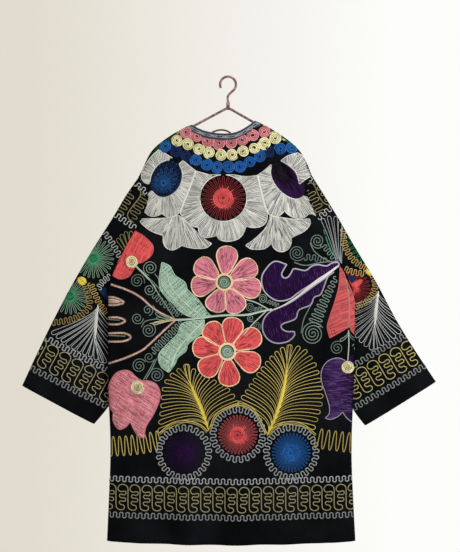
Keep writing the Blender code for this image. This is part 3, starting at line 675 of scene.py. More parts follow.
def mint_leaves(sew):
    upper = outline(
        ((161.9, 262.5), (170, 266.3), (175, 275), (185, 282.5), (188, 290), (198.8, 300), (207.5, 312.5)),
        ((213, 316.6), (199, 318.2), (184, 313.8), (173, 303.5), (162.5, 292.5), (159.3, 281)),
    )
    lower = outline(
        ((204.5, 319.5), (203, 331), (195, 338), (188, 344), (186, 350.5), (177.8, 357.5), (175, 364)),
        ((168.8, 372), (161.3, 366.3), (158.8, 355), (167.5, 343.8), (177.5, 333.8), (183, 323)),
    )
    upper_ribs = [((162.3, 266), (161.5, 284), (172, 298), (190, 315)),
                  ((167, 272), (171, 287), (184, 302), (201, 316))]
    lower_ribs = [((163, 364), (171, 348), (186, 331), (198, 320)),
                  ((171, 367), (177, 351), (190, 335), (203, 322))]
    for edge, ribs, angle in ((upper, upper_ribs, 48), (lower, lower_ribs, 125)):
        sew("mint", hatch(edge, angle + 90, 1.05), 1.0)
        sew("mint", pieced(hatch(edge, angle, 0.86), 3), 0.95, 0.3)
        sew("moss", flecks(hatch(edge, angle + 60, 1.2) * 6, 1.4), 0.55, 0.95)
        sew("pale", flecks(hatch(edge, angle - 50, 1.5) * 4, 1.8), 0.5, 1.0)
        sew("mint", snipped(closed(edge), 5), 1.1, 0.5)
        sew("pale", ribs, 1.1, 0.9)
    stem = (175, 319.6), (190, 319), (205, 317), (226, 315), (246, 314.6), (262, 311), (272, 309)
    sew("pale", beside(stem, -0.5, 0.5), 1.0, 0.8)
    sew("pale", [((244, 299), (256, 302.6), (268, 309)), ((243.3, 335), (252.5, 324), (266, 311))], 1.1, 0.6)
    scrolls(sew, "slate", (
        (250, 306.7, 4.8, 0, 1), (262.5, 298.8, 4.8, 200, 1),
        (256.7, 325.8, 4.4, 120, -1), (250.5, 318, 3.8, 40, 1),
    ), 1.8, 0.7)
    sew("slate", [wave(((254, 309.5), (258, 308.5), (263, 308)), 3.6, 2.8),
                  wave(((267, 301), (272, 303), (278, 305.5)), 4.2, 3.2)], 0.7)


def wishbone(sew):
    """The V of corded lines with its stubs, open to the left."""
    arms = (((109.4, 283.8), (127.5, 290), (141.3, 297.5), (152.5, 307.5), (163.8, 314.4), (176, 319.6)),
            ((107.5, 363.8), (125, 358), (141.3, 350.6), (150, 343.8), (163, 331.4), (176, 319.6)))
    stubs = (((105, 297), (115, 297.6), (124, 302.4), (115, 305), (105, 304.6)),
             ((105, 317.8), (118, 317.4), (125.4, 320.8), (118, 324.2), (105, 324)),
             ((105, 333.6), (124, 333), (131, 337), (124, 341), (105, 341.6)))
    for points in (*arms, *stubs):
        cord_line(sew, points)
        if points is stubs[0]:  # the only stub that is filled
            for shift in (-1.6, 0, 1.6):
                line = (106, 301 + shift), (113, 301.2 + shift), (121 - abs(shift), 301.8 + shift * 0.4)
                sew("tan", line, 1.3)
    sew("sage", [((106, 319.4), (120, 320)), ((106, 335.4), (126, 336))], 0.7)
    for silk, tip in (("straw", (155, 323.5)), ("sage", (158, 318)), ("sage", (157, 313.5))):
        sew(silk, hairpin(bent((176, 320), (-1, 0), tip), 2.6), 0.75)
    sew("straw", ((150, 323.5), (163, 321.6), (175, 319.8)), 0.8, 0.3)
    sew("slate", [((153, 305), (157.5, 311), (166, 316.5)), ((141.5, 327), (146, 321), (158, 318.6))], 0.75)


def left_scrolls(sew):
    scrolls(sew, "slate", (
        (150.6, 268.1, 7.6, 100, 1), (137.5, 281, 7.4, 20, -1), (149.8, 289.5, 6.4, 300, 1),
        (137.5, 318.1, 6.2, 0, 1), (148, 310, 5.6, 80, -1), (148.8, 330, 7.4, 300, 1),
        (139.4, 365.6, 7.4, 330, -1), (149.4, 356.9, 5.4, 30, 1), (156.9, 375, 7.4, 210, 1),
    ))
    sew("slate", [wave(((154, 295), (166, 305), (181, 315.5)), 6.2, 5.0),
                  wave(((152.5, 352), (166, 338), (182, 323)), 7.2, 4.7)], 0.78)
    sew("slate", ((155, 274), (159, 280), (160, 292)), 0.85)
    sew("slate", [((155, 359), (150, 369), (143.5, 380)), ((157, 358), (152.5, 368), (146, 379))], 0.9)


def tulip(sew):
    edge = outline(
        ((135, 375.6), (131, 371.6), (125, 370), (116.3, 373), (109.8, 383), (107.6, 395), (108.4, 405)),
        ((113.4, 412), (113.4, 421), (118.8, 428.8), (125.4, 427)),
        ((130.6, 421.5), (134, 429), (139, 436)),
        ((144.4, 437.6), (146.3, 426.3), (153.8, 413.8), (159.6, 400), (160, 391), (156.3, 383.8),
         (148.8, 380.6), (141.3, 380)),
    )
    padded(sew, "blush", edge, 112, 34, 11)
    sew("garnet", flecks(hatch(edge, 38, 1.5) * 2, 6), 0.42, 1.1)
    sew("shell", flecks(hatch(edge, 30, 1.2) * 2, 7), 0.5, 1.15)
    sew("blush", closed(edge), 1.0, 0.5)
    button(sew, (137.5, 386.9), 6.6)


def ferns(sew):
    fern(sew, "olive", "yellow", ((190.4, 383), (195, 394), (201, 407), (208.6, 430)), (
        (10, ((186, 366), (174, 373.5), (165, 385), (163, 405), (160, 430))),
        (9, ((187.5, 366), (199, 374), (212, 380.5), (226, 388), (237, 402))),
    ))
    fern(sew, "olive", "yellow", ((286.8, 368), (283.4, 389), (276, 414), (267, 435)), (
        (12, ((288.5, 346.5), (276, 353.5), (259.5, 373), (239.5, 402.5))),
        (13, ((290, 346.5), (305, 351), (316.5, 371), (320.6, 399), (313, 427))),
    ))
    arch = (209, 429), (215, 415), (225, 407.5), (240, 403), (254, 409), (267, 433)
    sew("olive", beside(arch, 0, 1.8), 0.9)


BORDER_ROSETTES = (  # x, y, silk of the heart, silk of the loops
    (237.8, 433.8, "coral", "salmon"),
    (184, 452, "purple", "purple"),
    (291, 452, "blue", "blue"),
)


def border_rosettes(sew):
    for x, y, heart, loops in BORDER_ROSETTES:
        rayed_disc(sew, (x, y), 8.4, 19.6, heart, loops, 34, 0.46)
        sew("grey", wave(circle((x, y), 24.8, 90), 6.0, 6.3), 1.1)
    sew("olive", [wave(((109, 446.5), (134, 444.5), (160, 440)), 20, 6.6, 0.05),
                  wave(((315, 437.5), (334, 440.5), (357, 443.5)), 20, 7, 0.05)], 0.95)
    for arch in (((159, 433), (172, 422.6), (186, 420), (200, 424), (208, 431)),
                 ((268, 434), (279, 424), (292, 421), (305, 425), (316, 434))):
        sew("olive", beside(arch, 0, 1.6), 0.9)


def purple_leaves(sew):
    upper = outline(
        ((338.5, 262.3), (332, 263), (326.3, 266), (317.5, 264.8), (311.3, 266.3), (305, 270.6),
         (294, 268.8), (291, 272.6), (288, 276.9), (283.8, 278), (281.3, 274.4), (283.8, 268.8)),
        ((286.5, 264.6), (274, 261.6), (264, 271.5), (261.3, 281.3), (265, 292.5), (276.3, 300.4),
         (288.8, 299.2), (300, 291.3), (322.5, 277), (337.5, 267)),
    )
    lower = outline(
        ((334, 272), (327.5, 277), (322.5, 290), (319.6, 295), (313.8, 297.5), (310, 305),
         (298.8, 310), (295, 318.8), (282.5, 323.8), (281.3, 328), (286.3, 331.3)),
        ((294, 331.4), (294, 335.6), (287.5, 341.3), (276.3, 343), (267.5, 338.8), (262.5, 330),
         (263.8, 318.8), (272.5, 310), (290, 302.5), (315, 285)),
    )
    for edge in (upper, lower):
        sew("purple", pieced(hatch(edge, 78, 0.76), 9), 0.98)
        sew("violet", flecks(hatch(edge, 80, 2.4), 5), 0.32, 0.95)
        sew("lilac", closed(edge), 1.45, 0.6)
    rib = spaced(((338.8, 265.5), (326, 275), (313, 284), (298, 296), (283, 305.5), (270, 311)), 1.5)
    swell = np.interp(np.linspace(0, 1, len(rib)), (0, 0.3, 0.62, 1), (0.35, 1.3, 0.35, 0.1))
    for shift in (-1, -0.35, 0.35, 1):
        sew("white", rib + headings(rib)[1] * (shift * swell)[:, None], 1.0, 1.1)


BAND_EDGE = 5.4, 6.3  # width and pitch of the waves beside a band
HEM_BAND = 36  # from one wave to the other, with the ovals between them
OVAL_WIDTH, OVAL_HEIGHT = 12, 25
SHOULDER_FAN = (339, 262), 5, ((323, 220), (334.5, 217.5), (344.5, 228))  # on the back and on the sleeve


def right_scrolls(sew):
    scrolls(sew, "slate", ((317.5, 241, 7.5, 60, 1), (296.9, 253.1, 8.1, 40, 1)), 2.7)
    scrolls(sew, "slate", ((312.5, 333.5, 11.6, 330, -1),), 3.1)
    sew("slate", [
        wave(((304, 257.5), (312, 257.5), (326, 261)), 6, 5.4),
        wave(((322, 244), (328, 251), (335, 260)), 5.4, 4.8),
        ((293.8, 262.5), (305, 265.4), (318, 263), (330, 261.6), (338, 261.4)),
        ((310, 243), (314, 251), (322, 257.5), (331, 262)),
        wave(((313.5, 325), (319, 312), (327, 295), (336, 277)), 14, 5.4, 0.1, 4.5),
        ((300.8, 333), (304, 318), (313, 301)),
    ], 0.85)
    fan(sew, "grey", *SHOULDER_FAN)
    sew("jade", ((323.6, 229.5), (327.5, 242), (333, 255.5)), 1.1, 0.5)


def bud(sew):
    left = outline(((340, 266.9), (345, 276.3), (347.6, 292), (348.6, 310)),
                   ((347.5, 327.5), (338.8, 332.5)),
                   ((329.4, 337.8), (327, 326.5), (330, 315), (335, 300), (338.8, 285)))
    right = outline(((346, 279), (352.4, 294), (356.2, 312)), ((357.5, 336), (352, 332)),
                    ((349.6, 327), (349.8, 308)))
    for edge, angle in ((left, -18), (right, -30)):
        padded(sew, "salmon", edge, angle + 90, angle, 9)
        sew("garnet", flecks(hatch(edge, angle - 3, 1.9) * 2, 3.5), 0.36, 0.95)
        sew("salmon", closed(edge), 1.0, 0.4)
    sew("sage", ((345.6, 279), (348.4, 292), (349.4, 309), (348.4, 328)), 0.9, 0.9)
    sew("pale", beside(((348.4, 330), (348.6, 346), (347.6, 361)), -0.22, 0.22), 0.6, 0.5)
    scrolls(sew, "slate", ((336.9, 347.8, 7, 300, -1), (357, 348, 5.2, 200, 1)))
    for tip in ((341, 340), (356, 340)):
        sew("slate", hairpin(bent((348.4, 331), (0, 1), tip), 2.6), 0.8)


def purple_tulip(sew):
    rim = outline(
        ((345, 360.4), (337.5, 357.8), (327.5, 361), (321.4, 370), (321.3, 381.3), (325, 392.5),
         (328.8, 405), (328.8, 413.4)),
        ((324.8, 417.6), (330, 419), (337.5, 416.3)),
        ((342.5, 411.9), (346.3, 417.5), (352.5, 422.5), (358, 424.5)), open_end=True,
    )
    edge = outline(rim, ((358, 424.5), (358, 357)))
    # Painted light and shade: the left part is sewn lighter and streaked with violet as if lit, the right
    # part darker as if in shadow.
    for stitch in pieced(hatch(edge, 3, 0.76), 7):
        sew("amethyst" if stitch[0][0] < 341 else "purple", stitch, 1.0)
    sew("violet", flecks([line for line in hatch(edge, 3, 0.9) if line[0][0] < 333] * 2, 7), 0.5, 0.95)
    sew("lilac", rim, 0.85, 0.5)
    button(sew, (347.4, 366.9), 6.2)


def hem_border(sew, left, right, y):
    """Rows along the hem that repeat the cuffs' bands."""
    row = points_of(((left, y - 3), ((left + right) / 2, y), (right, y - 3)))
    for drop in (0, HEM_BAND):
        sew("grey", wave(curve(row + (0, drop)), *BAND_EDGE), 1.1)
    oval_band(sew, "gold", row + (0, HEM_BAND / 2), round((right - left) / OVAL_WIDTH), OVAL_HEIGHT)


BACK_MOTIFS = {  # by the end of their object's name
    "rosettes": [yoke],
    "discs": [discs],
    "collars": [collars],
    "calyxes": [calyxes],
    "daisies": [daisies],
    "buds": [half_flower, bud, tulip, purple_tulip],
    "leaves": [mint_leaves, purple_leaves],
    "wishbone": [wishbone],
    "scrolls": [left_scrolls, right_scrolls],
    "ferns": [ferns],
    "border": [border_rosettes],
}


def back_design():
    for name, motifs in BACK_MOTIFS.items():
        for motif in motifs:
            motif(sewing("stitching_back_" + name, "back_panel"))
    hem_border(sewing("stitching_back_hem", "back_panel"), 104, 358, 481)


# The sleeves

def cuff(sew, silk, upper, middle, lower, count, width):
    """A row of tall ovals between two waves."""
    sew("grey", wave(upper, *BAND_EDGE), 1.1)
    oval_band(sew, silk, middle, count, 25.3, width)
    sew("grey", wave(lower, *BAND_EDGE), 1.1)


def sleeve_left_design(sew):
    sew("dove", wave(((134.5, 182.5), (149, 194.5)), 5.4, 6.2), 0.9)
    sew("khaki", wave(((131, 191), (124, 202), (117.5, 213)), 12, 6.6, 0.1), 0.75)
    sew("khaki", ((135, 184.5), (139.5, 187.5), (140.6, 192), (139.5, 197), (131.5, 207.5), (127.6, 213.5),
                  (128.4, 218.4), (133.4, 222.4)), 0.85)
    sew("khaki", wave(((145, 196), (139, 206), (132, 217.5)), 9.5, 6.6, 0.1), 0.75)
    sew("dove", [wave(((114.5, 214), (124, 220.5), (135, 228)), 5.4, 6.2),
                 wave(((103, 231), (112, 243), (121, 259)), 5.4, 5.6)], 0.9)
    fan(sew, "khaki", (133, 262), 4, ((118, 240), (124, 234), (131, 233)))
    for x, y, heart, rim, loops in ((93.3, 257.8, 4.6, 20.5, 25), (69.4, 295.8, 4.4, 18.5, 22)):
        rayed_disc(sew, (x, y), heart, rim, "green", "sage", loops, 0.55, 9)
    patch(sew, "yellow", ellipse((81.8, 281), (4.8, 3.9), 30), 40, 0.8, 1.0, 0.4)
    long_band = (84.4, 284), (88, 297), (88.5, 307), (79, 316.1), (66.7, 320.6), (52, 323)
    sew("amber", [wave(long_band, 6.0, 5.0),
                  wave(((90, 283), (94.5, 294), (99, 304), (107, 315)), 6.0, 4.8)], 0.9)
    patch(sew, "navy", outline(((99, 292), (106, 287), (107.5, 301))), 30, 0.9, 1.0)
    sew("dove", wave(((98, 289), (102, 282), (110, 276)), 6, 5), 0.85)
    fern(sew, "dove", "white", ((94.4, 337), (95.4, 322), (97.4, 305)), (
        (10, ((101, 361), (90, 355.5), (71.6, 346.5), (53, 333))),
        (5, ((104, 361.5), (109, 357), (114, 345), (113, 328))),
    ), 4.3, 0.66, 0.2)
    cuff(sew, "gold", ((46, 338.2), (75, 354), (108, 371)), ((29.3, 346.2), (70, 369.5), (116, 394.2)),
         ((28, 366.7), (66, 386.4), (108, 408)), 7, 0.85)


def sleeve_right_design(sew):
    sew("dove", wave(((303, 184), (314, 175)), 5.4, 6), 0.9)
    sew("khaki", wave(((309, 190), (315, 201), (321.5, 214)), 9.5, 6.8, 0.1), 0.75)
    sew("khaki", ((306.4, 185), (311, 182.6), (315, 186.4), (319, 196), (324, 203), (331, 205.4)), 0.85)
    sew("khaki", wave(((316, 180), (323, 191), (331, 203)), 7.0, 7.2, 0.1), 0.75)
    sew("dove", wave(((318, 218), (326, 212), (333, 206)), 5.4, 6), 0.9)
    fan(sew, "grey", *SHOULDER_FAN)
    sew("jade", ((323.6, 229.5), (327.5, 242), (334, 256)), 1.0, 0.4)
    sew("green", looped((375, 239), circle((375, 239), 27, 60), 8, 30), 0.75)
    for band in (((343.5, 229), (344.5, 243), (349.5, 255), (357, 263), (369, 270)),
                 ((343, 268), (353, 272), (366, 274)),
                 ((373, 275), (375.5, 286), (370, 299), (356, 308))):
        sew("amber", wave(band, 6.0, 4.9), 0.9)
    patch(sew, "yellow", ellipse((369.6, 272), (4.2, 3.4), 50), 40, 0.8, 1.0, 0.5)
    rayed_disc(sew, (352.5, 288.5), 5.6, 18, "coral", "garnet", 26, 0.5)
    patch(sew, "navy", outline(((346.5, 275), (356, 276.6), (352, 283.6))), 30, lift=0.8)
    patch(sew, "coral", outline(((350, 284), (359, 279.4), (363, 281), (354, 291))), -30, lift=0.4)
    fern(sew, "dove", "white", ((375, 326), (376.4, 309), (378.6, 291)), (
        (9, ((372, 348), (362, 341), (352, 327), (345, 308))),
        (8, ((376, 347.5), (389, 339.5), (401, 330), (403, 312))),
    ), 4.3, 0.66, 0.25)
    cuff(sew, "straw_gold", ((354, 366), (380, 350.5), (409, 333.5)),
         ((348.2, 390), (383, 369.2), (416, 350.4)), ((354, 409), (386, 389.5), (428, 364)), 6, 0.9)


# The front

FRONT_DAISY = ((-84, 29), (-31, 29), (19, 28), (70, 28), (122, 27), (173, 28), (225, 29))


def front_design(node, mirror):
    """The back's motifs again, smaller, on one front. They are drawn on the right front."""
    def on(name, home=(228, 300), to=None, scale=1.0, turn=0.0):
        x, y = to or home
        if mirror:
            x, turn = 2 * PEAK_DRAWN[0] - x, -turn
        return sewing(f"stitching_{node}_{name}", node, FRONT, home, (x, y), scale, turn, mirror)
    edge = on("edge")
    neck = ((256, 128), (248, 144), (240, 164), (233.5, 182), (232.5, 197))
    rows = (("rose", 5.6, 7, neck), ("straw", 6.0, 6, neck), ("blue", 6.0, 2, neck[:2]))
    for k, (silk, radius, count, part) in enumerate(rows):
        rosette_row(edge, silk, radius, count, curve(points_of(part) + (12.5 + 12 * k, 1.5 * k)))
    edge("grey", wave(((238, 214), (236, 330), (237.5, 492)), *BAND_EDGE), 1.1)
    edge("olive", wave(((245.5, 222), (244, 330), (245.5, 487)), 5.4, 6.0), 0.95)
    disc = on("discs", (290, 172), (293, 180))
    rayed_disc(disc, (290, 172), 7.6, 16, "coral", "garnet", 26)
    satin(disc, outline(
        ((272, 167),), scalloped(((276, 200), (290, 205), (306, 196)), 3, -5),
        ((306, 196), (306, 170)), ((300, 153), (285, 150)),
    ), (290, 172), circle((290, 172), 17, 60))
    daisy(on("flowers"), (279, 250), "pink", "plum", FRONT_DAISY, 8.2, 6.8)
    daisy(on("flowers"), (312, 348), "coral", "crimson", FRONT_DAISY, 8.2, 6.8)
    tulip(on("flowers", (137, 386), (332, 388), 0.8, -14))
    purple_leaves(on("leaves", (268, 311), (260, 321), 0.66, 20))
    mint_leaves(on("leaves", (200, 318), (324, 279), 0.58, -58))
    fern(on("ferns", (209, 431), (272, 424), 0.92), "olive", "yellow",
         ((186.5, 373), (192.9, 388.6), (200.5, 405), (209, 431)), (
             (9, ((183, 367), (172, 378.5), (170, 392), (174, 410), (184, 428))),
             (8, ((190, 367), (205, 378), (222, 385), (232, 397), (233, 412))),
         ))
    border = on("border")
    for x, y, heart, loops in ((268, 450, "coral", "garnet"), (318, 450, "blue", "marine")):
        rayed_disc(border, (x, y), 8.6, 17.5, heart, loops, 30)
        border("grey", wave(circle((x, y), 22, 90), 5.4, 6.2), 1.1)
    scrolls(on("leaves"), "slate", (
        (262, 214, 6.5, 90, 1), (303, 222, 7, 10, -1), (256, 290, 6, 100, 1), (340, 300, 6.5, 200, 1),
        (262, 388, 6, 0, 1), (300, 398, 6, 60, -1),
    ))
    hem_border(on("hem"), 246, 356, 482)


# The neck braid

BRAID_MIDDLE = 3.3  # from the neck's edge
BRAID_CORDS = -2.65, -1.95, 1.95, 2.65  # from the braid's middle
LINK_LENGTH = 12
NECK_EDGES = {
    BACK: (((191.2, 124.2), (201.6, 129.8), (210.8, 132.2), (222, 133.6), (232, 133.2), (239.2, 131),
            (246.4, 126.8), (255.6, 120.2)),),
    FRONT: (((191.2, 124.2), (197, 135.8), (207.6, 157.4), (218, 178.2), (224.4, 195.8)),
            ((255.6, 120.2), (251.4, 134.2), (244, 155.8), (236, 177.4), (231.2, 195.8))),
}


def braid_design():
    """Two dark cords with a chain of long links between them."""
    for facing, lines in NECK_EDGES.items():
        for line in lines:
            sew = sewing("stitching_neck_braid", "neck_braid", facing)
            inwards = BRAID_MIDDLE if line[0][0] < PEAK_DRAWN[0] else -BRAID_MIDDLE
            middle = beside(spaced(line, 1), inwards)[0]
            sew("iron", beside(middle, *BRAID_CORDS), 0.8)
            for along in range(4, len(middle) - 6, LINK_LENGTH):
                sew("ink", middle[along:along + 6], 1.1, 0.2)
            for phase in (-1, 1):
                sew("ash", wave(middle, phase * 2.0, LINK_LENGTH, 0.0), 0.5, 0.4)


# Cloth shells

# Creases in mm: (from x, from drop, to x, to drop, half width, depth). A negative depth is a ridge.
CREASES = {
    "back_panel": (
        (-186, 118, -160, 252, 9, 2.6), (-168, 110, -138, 240, 8, -2.0), (-60, 82, -88, 190, 9, 2.0),
        (44, 78, 92, 190, 8, 2.2), (104, 84, 184, 240, 9, 6.5), (146, 92, 210, 206, 8, -2.6),
        (-196, 330, -150, 560, 13, 2.4), (206, 300, 168, 520, 12, 2.6), (-250, 400, -180, 470, 9, 2.2),
        (262, 420, 196, 500, 10, 2.6), (-120, 560, -150, 1080, 15, 3.0), (40, 480, 52, 1085, 14, -2.6),
        (96, 620, 118, 1085, 13, 3.0), (230, 560, 246, 1085, 12, 3.0), (-232, 640, -244, 1085, 12, 2.8),
        (-10, 700, -20, 1085, 12, 2.2), (278, 640, 272, 880, 8, 2.6), (-60, 230, -30, 360, 12, 1.6),
        (10, 260, 66, 300, 9, 1.2), (-190, 760, -120, 800, 9, 1.4), (150, 700, 214, 742, 9, 1.4),
    ),
    "front": (
        (-176, 110, -140, 250, 9, 2.6), (170, 110, 140, 260, 9, 2.6), (-130, 160, -90, 330, 10, 2.0),
        (134, 150, 96, 340, 10, 2.2), (-220, 420, -150, 560, 11, 2.6), (232, 430, 160, 560, 11, 2.6),
        (-80, 480, -96, 1085, 13, 2.8), (84, 500, 104, 1085, 13, 2.8), (-200, 600, -214, 1085, 13, 3.0),
        (206, 620, 220, 1085, 13, 3.0), (-146, 700, -150, 1085, 11, -2.2), (150, 640, 156, 1085, 11, -2.2),
        (-40, 640, -44, 1085, 9, 2.0), (42, 620, 46, 1085, 9, 2.0),
    ),
    "sleeve": (
        (-262, 250, -300, 470, 11, 2.8), (-290, 330, -380, 600, 13, 3.0), (-330, 400, -420, 640, 11, -2.2),
        (-296, 470, -330, 560, 9, 2.6), (-300, 560, -350, 740, 12, 2.4), (-420, 540, -470, 640, 10, 1.8),
        (-372, 690, -446, 716, 8, 1.4), (-240, 230, -262, 330, 8, 2.0), (-316, 620, -300, 730, 9, 1.8),
        (256, 250, 292, 470, 11, 2.8), (284, 330, 366, 590, 13, 3.0), (330, 420, 410, 640, 11, -2.2),
        (318, 480, 350, 580, 9, 2.6), (330, 560, 372, 760, 12, 2.4), (420, 560, 480, 650, 10, 1.8),
        (380, 700, 450, 690, 8, 1.4), (236, 225, 256, 320, 8, 2.0), (345, 640, 330, 740, 9, 1.8),
    ),
}
SEAM_PLAIN = 6 * MM  # no crease is this near to a neighbouring piece
SEAM_FADE = 32 * MM  # how far a crease takes to grow from there
SHARP_BEND = math.radians(50)  # a sharper one is a corner of the cut cloth
# Where a fold or a corner is tucked in: (x, drop, reach, step to the right, step inwards, step up), in mm.
# Only what lies on the back goes inwards or up.
TUCKS = {
    "sleeve_left": ((-303, 488, 24, 4, 0, 0),),
    "sleeve_right": ((323, 502, 26, -6, 0, 0),),
    "neck_braid": (
        (-101, 61, 9, 9, 0, 0), (76, 49, 9, -9, 0, 0), (-97, 65, 6, 0, 3, 0), (80, 57, 9, 0, 0, 9),
    ),
}
WINDING = {"hanger": 0.45 * MM, "hanging_loop": 0.8 * MM}  # how thick their wrapping is
WALL_LIMIT = 1.35 * MM  # an edge shorter than this runs through the wall


def ease(t):
    t = np.clip(t, 0, 1)
    return t * t * (3 - 2 * t)


def away_from(start, end, x, drop):
    """How far points are from a straight line, in metres."""
    start, end = points_of(start) * MM, points_of(end) * MM
    step = end - start
    points = np.stack([x, drop], axis=-1) - start
    share = np.clip(points @ step / (step @ step), 0, 1)
    return np.linalg.norm(points - share[:, None] * step, axis=-1)


def linked(name, data):
    """A new object in the scene."""
    made = bpy.data.objects.new(name, data)
    bpy.context.scene.collection.objects.link(made)
    return made


def welded(node):
    """The node's mesh with whole vertices and four-sided faces."""
    made = bmesh.new()
    made.from_mesh(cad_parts[node].data)
    bmesh.ops.remove_doubles(made, verts=made.verts, dist=MM / 100)
    wide = math.radians(70)
    bmesh.ops.join_triangles(made, faces=made.faces, angle_face_threshold=wide, angle_shape_threshold=wide)
    return made


def keep_rims(made):
    """Marks the edges of the cut cloth, so that they stay sharp when the mesh is made finer."""
    crease = made.edges.layers.float.new("crease_edge")
    for face in made.faces:
        if any(edge.calc_length() < WALL_LIMIT for edge in face.edges):
            for edge in face.edges:
                through = edge.calc_length() < WALL_LIMIT
                if not through or edge.calc_face_angle(0) > SHARP_BEND:
                    edge[crease] = 1.0


def shell(name, node, levels, material, creases=(), swell=0.0):
    """A finer wall on the node's form, with creases. Swell is how far it stands off the form."""
    made = welded(node)
    keep_rims(made)
    coarse = bpy.data.meshes.new(name)
    made.to_mesh(coarse)
    made.free()
    piece = linked(name, coarse)
    finer = piece.modifiers.new("finer", "SUBSURF")
    finer.levels = finer.render_levels = levels
    mesh = bpy.data.meshes.new_from_object(piece.evaluated_get(bpy.context.evaluated_depsgraph_get()))
    piece.modifiers.clear()
    piece.data = mesh
    bpy.data.meshes.remove(coarse)
    mesh.name = name
    if creases or node in TUCKS:
        press(mesh, node, creases)
    if swell:
        normals = np.array([vertex.normal for vertex in mesh.vertices])
        points = np.array([vertex.co for vertex in mesh.vertices]) + normals * swell
        mesh.vertices.foreach_set("co", points.ravel())
    mesh.shade_smooth()
    mesh.set_sharp_from_angle(angle=math.radians(60))
    mesh.materials.clear()
    mesh.materials.append(material)
    return piece


def press(mesh, node, creases):
    """Moves the cloth in and out along its creases. They fade towards the neighbouring pieces."""
    others = [vertex.co for other in CLOTH_NODES if other != node
              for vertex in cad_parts[other].data.vertices]
    tree = KDTree(len(others))
    for number, place in enumerate(others):
        tree.insert(place, number)
    tree.balance()
    points = np.array([vertex.co for vertex in mesh.vertices])
    x, drop = points[:, 0], PEAK_Z - points[:, 2]
    depths = np.zeros(len(points))
    for x0, drop0, x1, drop1, half_width, depth in creases:
        away = away_from((x0, drop0), (x1, drop1), x, drop) / (half_width * MM)
        depths += depth * MM * np.exp(-(away**2))
    near = np.array([tree.find(Vector(point))[2] for point in points])
    inwards = -1 if node.startswith("front") else 1
    points[:, 1] += inwards * depths * ease((near - SEAM_PLAIN) / SEAM_FADE)
    on_back = points[:, 1] < -MM
    moved = np.stack([np.ones(len(points)), on_back, on_back], axis=1)
    for at_x, at_drop, reach, *step in np.array(TUCKS.get(node, ())) * MM:
        share = np.exp(-((x - at_x) ** 2 + (drop - at_drop) ** 2) / reach**2)
        points += share[:, None] * moved * step
    mesh.vertices.foreach_set("co", points.ravel())
    mesh.update()


# Materials

def linear(colour):
    """A colour from 0 to 255 as the renderer's linear values."""
    share = np.array(colour) / 255
    return tuple(np.where(share <= 0.04045, share / 12.92, ((share + 0.055) / 1.055) ** 2.4))


def new_material(name):
    made = bpy.data.materials.new(name)
    made.use_nodes = True
    return made, made.node_tree.nodes["Principled BSDF"].inputs


def new_node(tree, kind, **values):
    """A shader node. The values are its sockets' settings."""
    made = tree.nodes.new("ShaderNode" + kind)
    for name, value in values.items():
        made.inputs[name.replace("_", " ")].default_value = value
    return made


def ramp_between(tree, first, last, low=0.0, high=1.0):
    """A colour ramp from one linear colour to another."""
    made = new_node(tree, "ValToRGB")
    for stop, colour, place in zip(made.color_ramp.elements, (first, last), (low, high)):
        stop.color, stop.position = (*colour, 1), place
    return made


def silk_material(silk, shade):
    made, sockets = new_material(f"silk_{silk}_{int(shade * 100)}")
    colour = np.array(linear(np.clip(np.array(SILKS[silk]) * shade, 0, 255))) * SILK_LEVEL
    sockets["Base Color"].default_value = (*colour, 1)
    sockets["Roughness"].default_value = 0.42
    sockets["Specular IOR Level"].default_value = 0.03 + 0.12 * float(colour.mean())
    return made


def noisy_material(name, dark, light, scale, roughness, sheen, bump, grain):
    """A material whose colour drifts between two, with a fine grain in its surface."""
    made, sockets = new_material(name)
    tree = made.node_tree
    place = new_node(tree, "TexCoord").outputs["Object"]
    drift = new_node(tree, "TexNoise", Scale=scale, Detail=5)
    ramp = ramp_between(tree, dark, light, 0.35, 0.68)
    weave = new_node(tree, "TexNoise", Scale=grain, Detail=3)
    height = new_node(tree, "Bump", Strength=bump, Distance=0.4 * MM)
    for start, end in (
        (place, drift.inputs["Vector"]),
        (place, weave.inputs["Vector"]),
        (drift.outputs["Fac"], ramp.inputs["Fac"]),
        (ramp.outputs["Color"], sockets["Base Color"]),
        (weave.outputs["Fac"], height.inputs["Height"]),
        (height.outputs["Normal"], sockets["Normal"]),
    ):
        tree.links.new(start, end)
    sockets["Roughness"].default_value = roughness
    sockets["Sheen Weight"].default_value = sheen
    sockets["Sheen Roughness"].default_value = 0.5
    sockets["Specular IOR Level"].default_value = 0.05
    return made


# Threads

PROFILE = ((0.5, 0.04), (0.30, 0.36), (-0.30, 0.36), (-0.5, 0.04))  # across, and out of the cloth
TWIST, THREAD_END = 0.93, 0.6  # the width at every other station, and at the ends
SEEN_FROM = 0.5  # metres from the hanger's plane to where a drawing is cast from
DEPTH_JUMP = 9 * MM  # where a thread would cross to another fold, it is cut


def cast(tree, line, facing):
    """The runs of a flat line that land on a cloth, as places and normals."""
    flat = (spaced(line, STRAIGHT_STEP if len(line) == 2 else BENT_STEP) - PEAK_DRAWN) * UNIT
    direction = Vector((0, -facing, 0))
    runs, run = [], []
    for x, drop in flat:
        hit, normal, _, _ = tree.ray_cast(Vector((x, facing * SEEN_FROM, PEAK_Z - drop)), direction)
        broken = hit is None or (run and abs(hit.y - run[-1][0][1]) > DEPTH_JUMP)
        if broken and run:
            runs.append(run)
            run = []
        if hit is not None:
            run.append((tuple(hit), tuple(normal if normal.y * facing > 0 else -normal)))
    runs.append(run)
    return [np.array(run) for run in runs if len(run) > 2]


